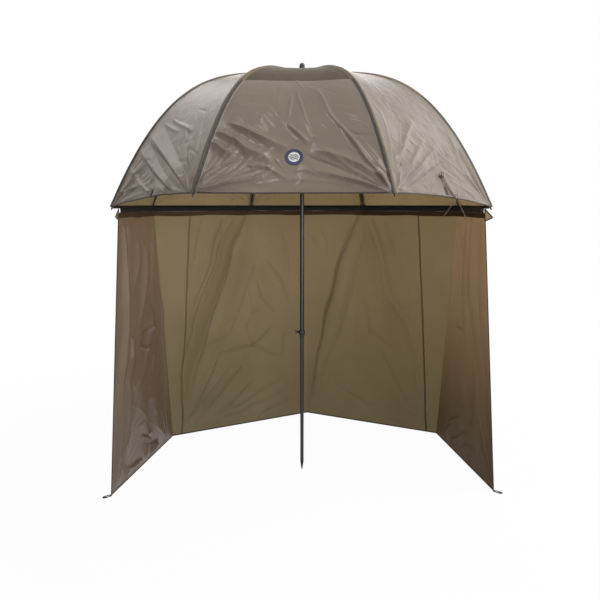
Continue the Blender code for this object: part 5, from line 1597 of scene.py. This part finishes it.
def side_creases(left):
    rng = np.random.default_rng(11 if left else 12)
    lines = in_metres(LEFT_FOLDS, LEFT_GAIN) if left else in_metres(RIGHT_FOLDS, RIGHT_GAIN)
    lines += fan(rng, (0.0, WALL_TOP), 1.1, 50, 86, 6, 0.012, 0.0050)
    lines += fan(rng, (SIDE_WIDTH, WALL_TOP), 0.8, 94, 150, 7, 0.012, 0.0040)
    lines += fan(rng, (SIDE_WIDTH, 0.0), 0.7, -150, -92, 5, 0.014, 0.0040)
    lines += scattered(rng, 12, (0.05, 0.7, 0.05, 0.5), 0.4, -88, 0.016, 0.0060)
    if left:
        lines += scattered(rng, 12, (0.1, 0.5, 0.45, 0.75), 0.16, 35, 0.008, 0.0040)
        lines += scattered(rng, 22, (0.05, 0.6, 1.10, 1.36), 0.14, 10, 0.008, 0.0050)
    else:
        lines += scattered(rng, 12, (0.1, 0.6, 0.9, 1.30), 0.16, 20, 0.008, 0.0026)
    return lines


def side_wall(left):
    """From its front edge (share 0) to the back wall's corner (share 1)."""
    share = np.linspace(0, 1, SIDE_COLUMNS + 1)
    ends, feet = ((RIM[0], RIM[1]), PEGS[:2]) if left else ((RIM[5], RIM[4]), (PEGS[4], PEGS[3]))
    flat, v = flat_wall(line_at(ends, share), line_at(feet, share), WALL_ROWS)
    edge = np.clip(np.sin(math.pi * share), 0, 1)
    ripple = np.cos(math.pi * (7 * share - 1.2 * v)) * (0.4 + 0.6 * v)
    depth = (0.014 + 0.007 * ripple) * edge * np.clip(np.sin(math.pi * v), 0, 1) ** 0.7
    width = (1 - v) * np.linalg.norm(ends[1] - ends[0]) + v * math.dist(feet[0], feet[1])
    x, y = share * width, v * WALL_TOP + 0 * share
    fine = ridges(x, y, side_creases(left), wander=0.008)
    fine += (0.0030 * soft_noise(x, y * 0.4, 0.13, 51 + left)
             + 0.0014 * soft_noise(x, y * 0.5, 0.045, 53))
    return raised(flat, depth + fine * held_edges(y, share, 0.04, 0.03), v)


print("folds of the left wall:", len(side_creases(True)), "right:", len(side_creases(False)))

# %% [markdown]
# The three panels are sewn together at the back corners, so their grids are joined into one and
# the inner face is worked out from the whole. Then each panel is cut out of it again. A real wall
# is zipped off before the umbrella is folded.

# %% Wall panels
WALL_SHOWN_T = 0.0012


def settle(obj):
    """Gives a piece of the wall a mesh of its own."""
    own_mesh(obj)


def wall_piece(name, mesh, stands_for=()):
    """A piece of the wall, riding on the pole."""
    obj = piece(name, mesh, "pole", stands_for)
    settle(obj)
    return obj


def into_tent(outer, distance):
    """The grid moved inwards, level, row by row."""
    moved = outer.copy()
    for row in moved:
        row[:, :2] = offset_line(row[:, :2], -distance)
    return moved


left_panel, back_panel = side_wall(True), back_wall()
right_panel = side_wall(False)[:, ::-1]
whole = np.concatenate((left_panel[:, :-1], back_panel, right_panel[:, 1:]), axis=1)
inside = into_tent(whole, WALL_SHOWN_T)
LEFT_END, RIGHT_END = SIDE_COLUMNS, SIDE_COLUMNS + BACK_COLUMNS
PANELS = (("wall_left", 0, LEFT_END, LEFT_IN), ("wall_back", LEFT_END, RIGHT_END, WALL_IN),
          ("wall_right", RIGHT_END, whole.shape[1] - 1, RIGHT_IN))


def wall_panel(node, low, high, inner_finish):
    columns = slice(low, high + 1)
    outer, inner = whole[:, columns], inside[:, columns]
    name = node.replace("wall_", "wall_cloth_")
    mesh = sheet_mesh(name, outer, inner, (WALL_OUT, inner_finish))
    outward_faces(mesh)
    obj = wall_piece(name, mesh, (node,))


for node, low, high, inner_finish in PANELS:
    wall_panel(node, low, high, inner_finish)

# %% [markdown]
# Tapes of the wall: a brown facing strip under the zip, whose dark brown is partly painted shade,
# felled seams down the back wall, black binding folded over the bottom hem and the front edges, and
# their stitches. Painted lines would lie flat. All of these follow the wall's grid: a strip is a few
# of its columns or rows, moved a little off the cloth.

# %% Strips on the wall
def wall_strip(name, face, finish, thickness, inwards):
    """A thin closed strip over a piece of the wall's grid, on its inner or outer side."""
    first = into_tent(face, inwards)
    second = into_tent(face, inwards + thickness)
    mesh = sheet_mesh(name, first, second, (finish,))
    outward_faces(mesh)
    wall_piece(name, mesh)


STRIP_ROWS = 6


def rows_between(grid, high, low):
    """The part of the grid between two heights, cut exactly at both."""
    heights = np.linspace(high, low, STRIP_ROWS)
    z = grid[:, 0, 2]
    made = np.empty((len(heights), grid.shape[1], 3))
    for n, height in enumerate(heights):
        i = int(np.clip(np.searchsorted(-z, -height) - 1, 0, len(z) - 2))
        share = (z[i] - height) / (z[i] - z[i + 1])
        made[n] = (1 - share) * grid[i] + share * grid[i + 1]
    return made


FACING_HEIGHT = 0.027
facing = rows_between(whole, WALL_TOP - 0.0005, WALL_TOP - FACING_HEIGHT)
sag = 0.004 * soft_noise(metres_along(facing, 1), 0 * facing[..., 0], 0.12, 3)
facing[..., 2] -= sag * np.linspace(0, 1, STRIP_ROWS)[:, None]
wall_strip("wall_facing", facing, FACING_AND_SHADE, 0.0009, WALL_SHOWN_T + 0.0001)

BINDING_HEIGHT = 0.007
WEBBING_T = 0.0006
hem = rows_between(whole, BINDING_HEIGHT, 0.0)
wall_strip("hem_binding_inside", hem, BLACK_WEBBING, WEBBING_T, WALL_SHOWN_T)
wall_strip("hem_binding_outside", hem, BLACK_WEBBING, WEBBING_T, -WEBBING_T)
print("facing and hem binding:", round(length_of(hem[0]), 3), "m long")

# %% [markdown]
# Each front edge is rolled into a dark tape, a soft round line, so a tube is enough. A felled
# seam is a doubled strip of the wall's own cloth with a row of stitches on both sides.

# %% Front edges and felled seams
EDGE_R = 0.0022
EDGE_SIDES = 8
DARK_EDGE = webbing_finish("dark_red_brown_edge", screen_colour(58, 34, 30), 200.0)


def front_edge(name, column):
    """Bound front edge of a side panel: a soft roll from the zip to the peg."""
    line = (whole[:, column] + inside[:, column]) / 2
    line = np.concatenate((line[:1] + (0, 0, -0.001), line[2:-2:3], line[-1:] + (0, 0, EDGE_R)))
    wall_piece(name, tube_mesh(name, line, EDGE_R, EDGE_SIDES, DARK_EDGE))


front_edge("front_edge_left", 0)
front_edge("front_edge_right", -1)

# shares of the back wall's width at the top and at the foot
FELLED_SEAMS = (("left", 0.115, 0.03), ("right", 0.872, 0.965))
SEAM_HALF = 0.005


def seam_strip(side, at_top, at_foot):
    """A felled seam down the back wall, three points wide. It returns its two edges."""
    rows = whole.shape[0]
    strip = np.empty((rows, 3, 3))
    high, low = LEFT_END + at_top * BACK_COLUMNS, LEFT_END + at_foot * BACK_COLUMNS
    for i in range(rows):
        column = high + (low - high) * i / (rows - 1)
        reach = metres_along(whole[i : i + 1], 1)[0]
        middle = np.interp(column, np.arange(len(reach)), reach)
        for j, offset in enumerate((-SEAM_HALF, 0, SEAM_HALF)):
            strip[i, j] = [np.interp(middle + offset, reach, whole[i, :, axis]) for axis in range(3)]
    first = int(FACING_HEIGHT / WALL_TOP * rows)
    wall_strip(f"felled_seam_{side}", strip[first:-1], WALL_IN, 0.0008, WALL_SHOWN_T)
    inner = into_tent(strip[first:-1], WALL_SHOWN_T + 0.0009)
    return [inner[:, 0], inner[:, 2]]


lines = []
for side, at_top, at_foot in FELLED_SEAMS:
    lines += seam_strip(side, at_top, at_foot)
inner_hem = into_tent(rows_between(whole, 0.010, 0.008), WALL_SHOWN_T + 0.0001)
stitches = bars_along("wall_stitches", lines + [inner_hem[0]], DARK_THREAD, Spacing=0.0075,
                      Bar_Length=0.0048, Bar_Width=0.0008, Bar_Height=0.0006)
wall_piece("wall_stitches", stitches)
print("felled seams:", len(FELLED_SEAMS), "wall stitches:", len(stitches.vertices) // 12)

# %% [markdown]
# The zip band: a black tape with the zip's teeth along its middle, sewn to the top of the wall.
# It turns a soft corner at each rib. Teeth are small bars made by the same tree as the stitches,
# since there are hundreds of them, all alike.

# %% Zip band
CORNER_ROUND = 0.030
BAND_STEP = 0.012
# how far down each row of the band lies, and how proud of the tape it stands
BAND_ROWS = ((0.0, 0.0), (0.0085, 0.0002), (0.013, 0.0006), (0.0175, 0.0002), (0.026, 0.0))
BAND_WAVE = 0.0012
TOOTH_PITCH = 0.0028


def rounded_line(corners, radius, steps=7):
    """A line of corners with each inner corner rounded."""
    made = [np.array(corners[0])]
    for before, corner, after in zip(corners, corners[1:], corners[2:]):
        back = (before - corner) / np.linalg.norm(before - corner)
        on = (after - corner) / np.linalg.norm(after - corner)
        start, end = corner + back * radius, corner + on * radius
        for n in range(steps + 1):
            t = n / steps
            made.append((1 - t) ** 2 * start + 2 * t * (1 - t) * corner + t * t * end)
    made.append(np.array(corners[-1]))
    return np.array(made)


def spaced(line, step):
    """The same line with a point every step."""
    reach = reach_along(line)
    places = np.linspace(0, reach[-1], max(2, round(reach[-1] / step) + 1))
    return np.stack([np.interp(places, reach, values) for values in line.T], axis=1)


def zip_band():
    """The band's tape. It returns the line of its teeth."""
    line = spaced(rounded_line(rim_line(BAND_START), CORNER_ROUND), BAND_STEP)
    reach = reach_along(line)
    outer = np.empty((len(BAND_ROWS), len(line), 3))
    inner = outer.copy()
    for n, (drop, proud) in enumerate(BAND_ROWS):
        wave = BAND_WAVE * soft_noise(reach, 0 * reach + n, 0.09, 8)
        height = BAND_TOP - GAP - drop + wave * (1 if 0 < n < len(BAND_ROWS) - 1 else 0.2)
        outer[n, :, :2] = line
        inner[n, :, :2] = offset_line(line, -(BAND_T - WEBBING_T + proud))
        outer[n, :, 2] = inner[n, :, 2] = height
    mesh = sheet_mesh("zip_band_tape", outer, inner, (BLACK_TAPE,))
    outward_faces(mesh)
    wall_piece("zip_band_tape", mesh, ("zip_band",))
    teeth_line = inner[len(BAND_ROWS) // 2].copy()
    teeth_line[:, :2] = offset_line(teeth_line[:, :2], -GAP)
    return teeth_line


teeth_line = zip_band()
teeth = bars_along("zip_teeth", [teeth_line], BLACK_PLASTIC, Spacing=TOOTH_PITCH,
                   Bar_Length=0.0013, Bar_Width=0.0052, Bar_Height=0.0016)
wall_piece("zip_teeth", teeth)
print("zip:", round(length_of(teeth_line), 3), "m,", len(teeth.vertices) // 12, "teeth")
settle(dressed("zip_slider_and_pull", "zip_slider", "slider", ZIP_METAL, 25))

# %% [markdown]
# The other half of the zip is sewn inside the hem of the canopy, from rib 2 round the back to
# rib 7. It stands just outside the band and folds away with the canopy, so it is cut in the
# middle of each gore as the canopy is.

# %% Zip half on the hem
HALF_TOP = BAND_TOP + 0.0085
HALF_FOOT = BAND_TOP - 0.0060
HALF_R = BAND_R + 0.0004
HALF_T = 0.0007
ZIPPED_RIBS = range(1, 7)


def hem_zip_half(k):
    before, here, after = (chord_corner(n, HALF_R) for n in (k - 1, k, k + 1))
    corners = [(before + here) / 2, here, (here + after) / 2]
    if k == ZIPPED_RIBS[0]:
        corners = corners[1:]
    if k == ZIPPED_RIBS[-1]:
        corners = corners[:2]
    line = np.array(corners)
    # the line runs anticlockwise seen from above, so its right side is outside
    back = offset_line(line, -HALF_T)
    heights = (HALF_TOP, (HALF_TOP + HALF_FOOT) / 2, HALF_FOOT)
    outer, inner = (np.array([[(*p, z) for p in plan] for z in heights]) for plan in (back, line))
    mesh = sheet_mesh(f"hem_zip_half_{k + 1}", outer, inner, (BLACK_TAPE,))
    outward_faces(mesh)
    rib_piece(f"hem_zip_half_{k + 1}", mesh, k)


for k in ZIPPED_RIBS:
    hem_zip_half(k)
print("zip halves on the hem:", len(ZIPPED_RIBS))

# %% [markdown]
# At each front end of the wall a small storm flap covers the zip's end, with dark piping round its
# edge, and five webbing loops at the ground take the pegs. Flaps and loops keep their nodes' own
# shapes. The piping is a tube through the flap's own corners, so it cannot miss them.

# %% Flaps and peg loops
FLAP_OLIVE = cloth_finish("olive_flap", screen_colour(176, 156, 116), 0.6, 0.15, 0.0008)
PIPING = {"left": 0.0020, "right": 0.0030}
PIPING_SIDES = 6
PIPING_STEP = 0.004
CORNER_APART = 0.006
PIPING_TOP = WALL_TOP + 0.02
PEG_LOOPS = 5


def flap(name, node):
    """A small storm flap, with a UV map in metres for its weave."""
    obj = dressed(name, node, "pole", FLAP_OLIVE, 20)
    mesh = obj.data
    uv = mesh.uv_layers.get("cloth") or mesh.uv_layers.new(name="cloth")
    for loop in mesh.loops:
        spot = mesh.vertices[loop.vertex_index].co
        uv.data[loop.index].uv = (spot.y + spot.x, spot.z)
    settle(obj)


def flap_piping(name, node, radius):
    """The dark piping round a flap's edge."""
    corners = []
    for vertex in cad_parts[node].data.vertices:
        if all((vertex.co - corner).length > CORNER_APART for corner in corners):
            corners.append(vertex.co.copy())
    middle = sum(corners, Vector()) / len(corners)
    corners.sort(key=lambda p: math.atan2(p.z - middle.z, (p.x - middle.x) + (p.y - middle.y)))
    line = spaced(np.array([tuple(p) for p in corners + corners[:1]]), PIPING_STEP)
    line[:, 2] = np.clip(line[:, 2], None, PIPING_TOP)
    wall_piece(name, tube_mesh(name, line, radius, PIPING_SIDES, BLACK_TAPE))


for side, radius in PIPING.items():
    flap(f"storm_flap_{side}", f"flap_{side}")
    flap_piping(f"storm_flap_piping_{side}", f"flap_{side}", radius)
for n in range(1, PEG_LOOPS + 1):
    dressed(f"webbing_peg_loop_{n}", f"peg_loop_{n}", "pole", BLACK_WEBBING)
print("flaps:", len(PIPING), "peg loops:", PEG_LOOPS)

# %% [markdown]
# Pole, hub, ribs and runner. They are plain steel tube, wire and moulded plastic. The frame's own
# solids have their true shapes, so copies of them are enough and the finish does the work: satin
# paint with a little wear, and a rib coating that is duller.

# %% Rigid pieces
RIGID = (
    ("upper_pole_tube", "upper_pole", "pole", "pole_paint", BLACK_PAINT),
    ("lower_pole_tube", "lower_pole", "mast", "pole_paint", BLACK_PAINT),
    ("spike_point", "ground_spike", "mast", "pole_paint", SPIKE_STEEL),
    ("clamp_collar", "pole_clamp", "pole", "plastic", BLACK_PLASTIC),
    ("wing_screw", "clamp_screw", "screw", "plastic", BLACK_PLASTIC),
    ("hub_notch", "top_notch", "pole", "plastic", BLACK_PLASTIC),
    ("hub_ring_wire", "notch_ring", "pole", "steel", SPRING_STEEL),
    ("pole_cap", "ferrule_cap", "pole", "plastic", BLACK_PLASTIC),
    ("top_spring", "runner_spring", "pole", "steel", SPRING_STEEL),
    ("stretcher_runner", "runner", "runner", "plastic", BLACK_PLASTIC),
)
for name, node, body, slot_name, finish in RIGID:
    dressed(name, node, body, finish)
for n in range(1, RIBS + 1):
    dressed(f"rib_wire_{n}", f"rib_{n}", f"rib_body_{n}", RIB_COAT)
    dressed(f"rib_tip_{n}", f"rib_cap_{n}", f"rib_body_{n}", BLACK_PLASTIC)
    dressed(f"stretcher_bar_{n}", f"stretcher_{n}", f"stretcher_body_{n}", RIB_COAT)
print("rigid pieces:", len(RIGID) + 3 * RIBS)

# %% [markdown]
# Floor. The photograph has a plain white ground. More light on a white floor would burn out the
# tent as well, so the floor only looks white to the camera, while it still takes the shadow.

# %% Floor
FLOOR_SIZE = 30
FLOOR_DROP = 0.0005
FLOOR_LOOK = {"From_Min": 1.4, "From_Max": 3.6, "To_Min": 0.97, "To_Max": 1.0}


def shown_ray(tree):
    """1 for a ray that shows the background: to the camera, off metal or through glass."""
    path = tree.nodes.new("ShaderNodeLightPath")
    value = path.outputs["Is Camera Ray"]
    for kind in ("Is Glossy Ray", "Is Transmission Ray"):
        larger = add_node(tree, "ShaderNodeMath", operation="MAXIMUM")
        tree.links.new(value, larger.inputs[0])
        tree.links.new(path.outputs[kind], larger.inputs[1])
        value = larger.outputs[0]
    return value


def floor():
    """White floor that glows evenly, and takes a little shadow near the tent. It throws less light
    back on the cloth than it seems to."""
    made, tree, shader = empty_finish("white_floor", 0.9)
    shader.inputs["Base Color"].default_value = (0.86, 0.86, 0.86, 1)
    shader.inputs["Specular IOR Level"].default_value = 0.0
    place = tree.nodes.new("ShaderNodeTexCoord")
    away = add_node(tree, "ShaderNodeVectorMath", operation="LENGTH")
    share = add_node(tree, "ShaderNodeMapRange", **FLOOR_LOOK)
    white = add_node(tree, "ShaderNodeEmission", Strength=1.0)
    dull = add_node(tree, "ShaderNodeBsdfDiffuse", Color=(0.22, 0.22, 0.22, 1))
    near = tree.nodes.new("ShaderNodeMixShader")
    mix = tree.nodes.new("ShaderNodeMixShader")
    tree.links.new(shown_ray(tree), mix.inputs[0])
    join(tree, (place, "Object", away, 0), (away, "Value", share, "Value"),
         (share, "Result", near, 0), (shader, "BSDF", near, 1), (white, "Emission", near, 2),
         (dull, "BSDF", mix, 1), (near, "Shader", mix, 2),
         (mix, "Shader", tree.nodes["Material Output"], "Surface"))
    bm = bmesh.new()
    bmesh.ops.create_grid(bm, x_segments=8, y_segments=8, size=FLOOR_SIZE)
    mesh = bpy.data.meshes.new("studio_floor")
    bm.to_mesh(mesh)
    bm.free()
    mesh.materials.append(made)
    obj = in_scene("studio_floor", mesh)
    obj.location.z = -FLOOR_DROP


floor()
print("floor", 2 * FLOOR_SIZE, "m wide")

# %% [markdown]
# The world is made the same way: white to the camera, and a faint cool light to the cloth. A
# picture of a studio all round could light it too, but the lamps do that more plainly.

# %% World
AMBIENT = 0.02


def white_world():
    world = bpy.data.worlds.new("white_studio")
    bpy.context.scene.world = world
    world.use_nodes = True
    tree = world.node_tree
    ambient = tree.nodes["Background"]
    ambient.inputs["Color"].default_value = (0.94, 0.97, 1.0, 1)
    ambient.inputs["Strength"].default_value = AMBIENT
    white = add_node(tree, "ShaderNodeBackground", Strength=1.0)
    white.inputs["Color"].default_value = (1, 1, 1, 1)
    mix = tree.nodes.new("ShaderNodeMixShader")
    tree.links.new(shown_ray(tree), mix.inputs[0])
    join(tree, (ambient, "Background", mix, 1), (white, "Background", mix, 2),
         (mix, "Shader", tree.nodes["World Output"], "Surface"))


white_world()
print("world strength:", AMBIENT)

# %% [markdown]
# Light. The lamps are wide squares, as small ones would throw hard shadows. The brightest stands
# high at the right. Three at the left put the glare on the left gore, the wide ones behind and at
# the right shine through the cloth, and three beside the camera light the front and the inside.
# Each has a place, a size in metres and a power in watts.

# %% Lamps
LAMPS = (
    ("key_right", (3.0, -1.2, 5.0), 2.6, 162),
    ("side_right", (4.6, 0.2, 1.9), 2.6, 70),
    ("side_left", (-4.6, 0.2, 1.9), 2.6, 2),
    ("front_spark", (-1.2, -2.2, 5.2), 0.9, 34),
    ("fill_right", (3.2, -5.0, 1.6), 1.2, 66),
    ("fill_front", (0.3, -5.4, 1.7), 2.6, 42),
    ("inside_right", (3.5, -2.9, 0.9), 0.7, 26),
    ("back_soft", (0.5, 4.5, 2.6), 3.5, 62),
    ("back_right", (3.6, 3.0, 3.4), 2.6, 27),
    ("glare_left", (-3.0, 3.2, 4.2), 3.2, 15),
    ("spark_left", (-2.0, 2.6, 4.4), 1.4, 8),
    ("streak_left", (-2.9, 0.9, 4.6), 1.2, 13),
)
AIM = Vector((0, 0, 1.3))


def lamp(name, place, size, watts):
    data = bpy.data.lights.new(name, "AREA")
    data.size = size
    data.energy = watts
    obj = in_scene(name, data)
    obj.location = place
    obj.rotation_euler = (AIM - Vector(place)).to_track_quat("-Z", "Y").to_euler()


for name, place, size, watts in LAMPS:
    lamp(name, place, size, watts)
print("lamps:", len(LAMPS))

# %% [markdown]
# Last, the end of the script.

# %% End
print("scene built")
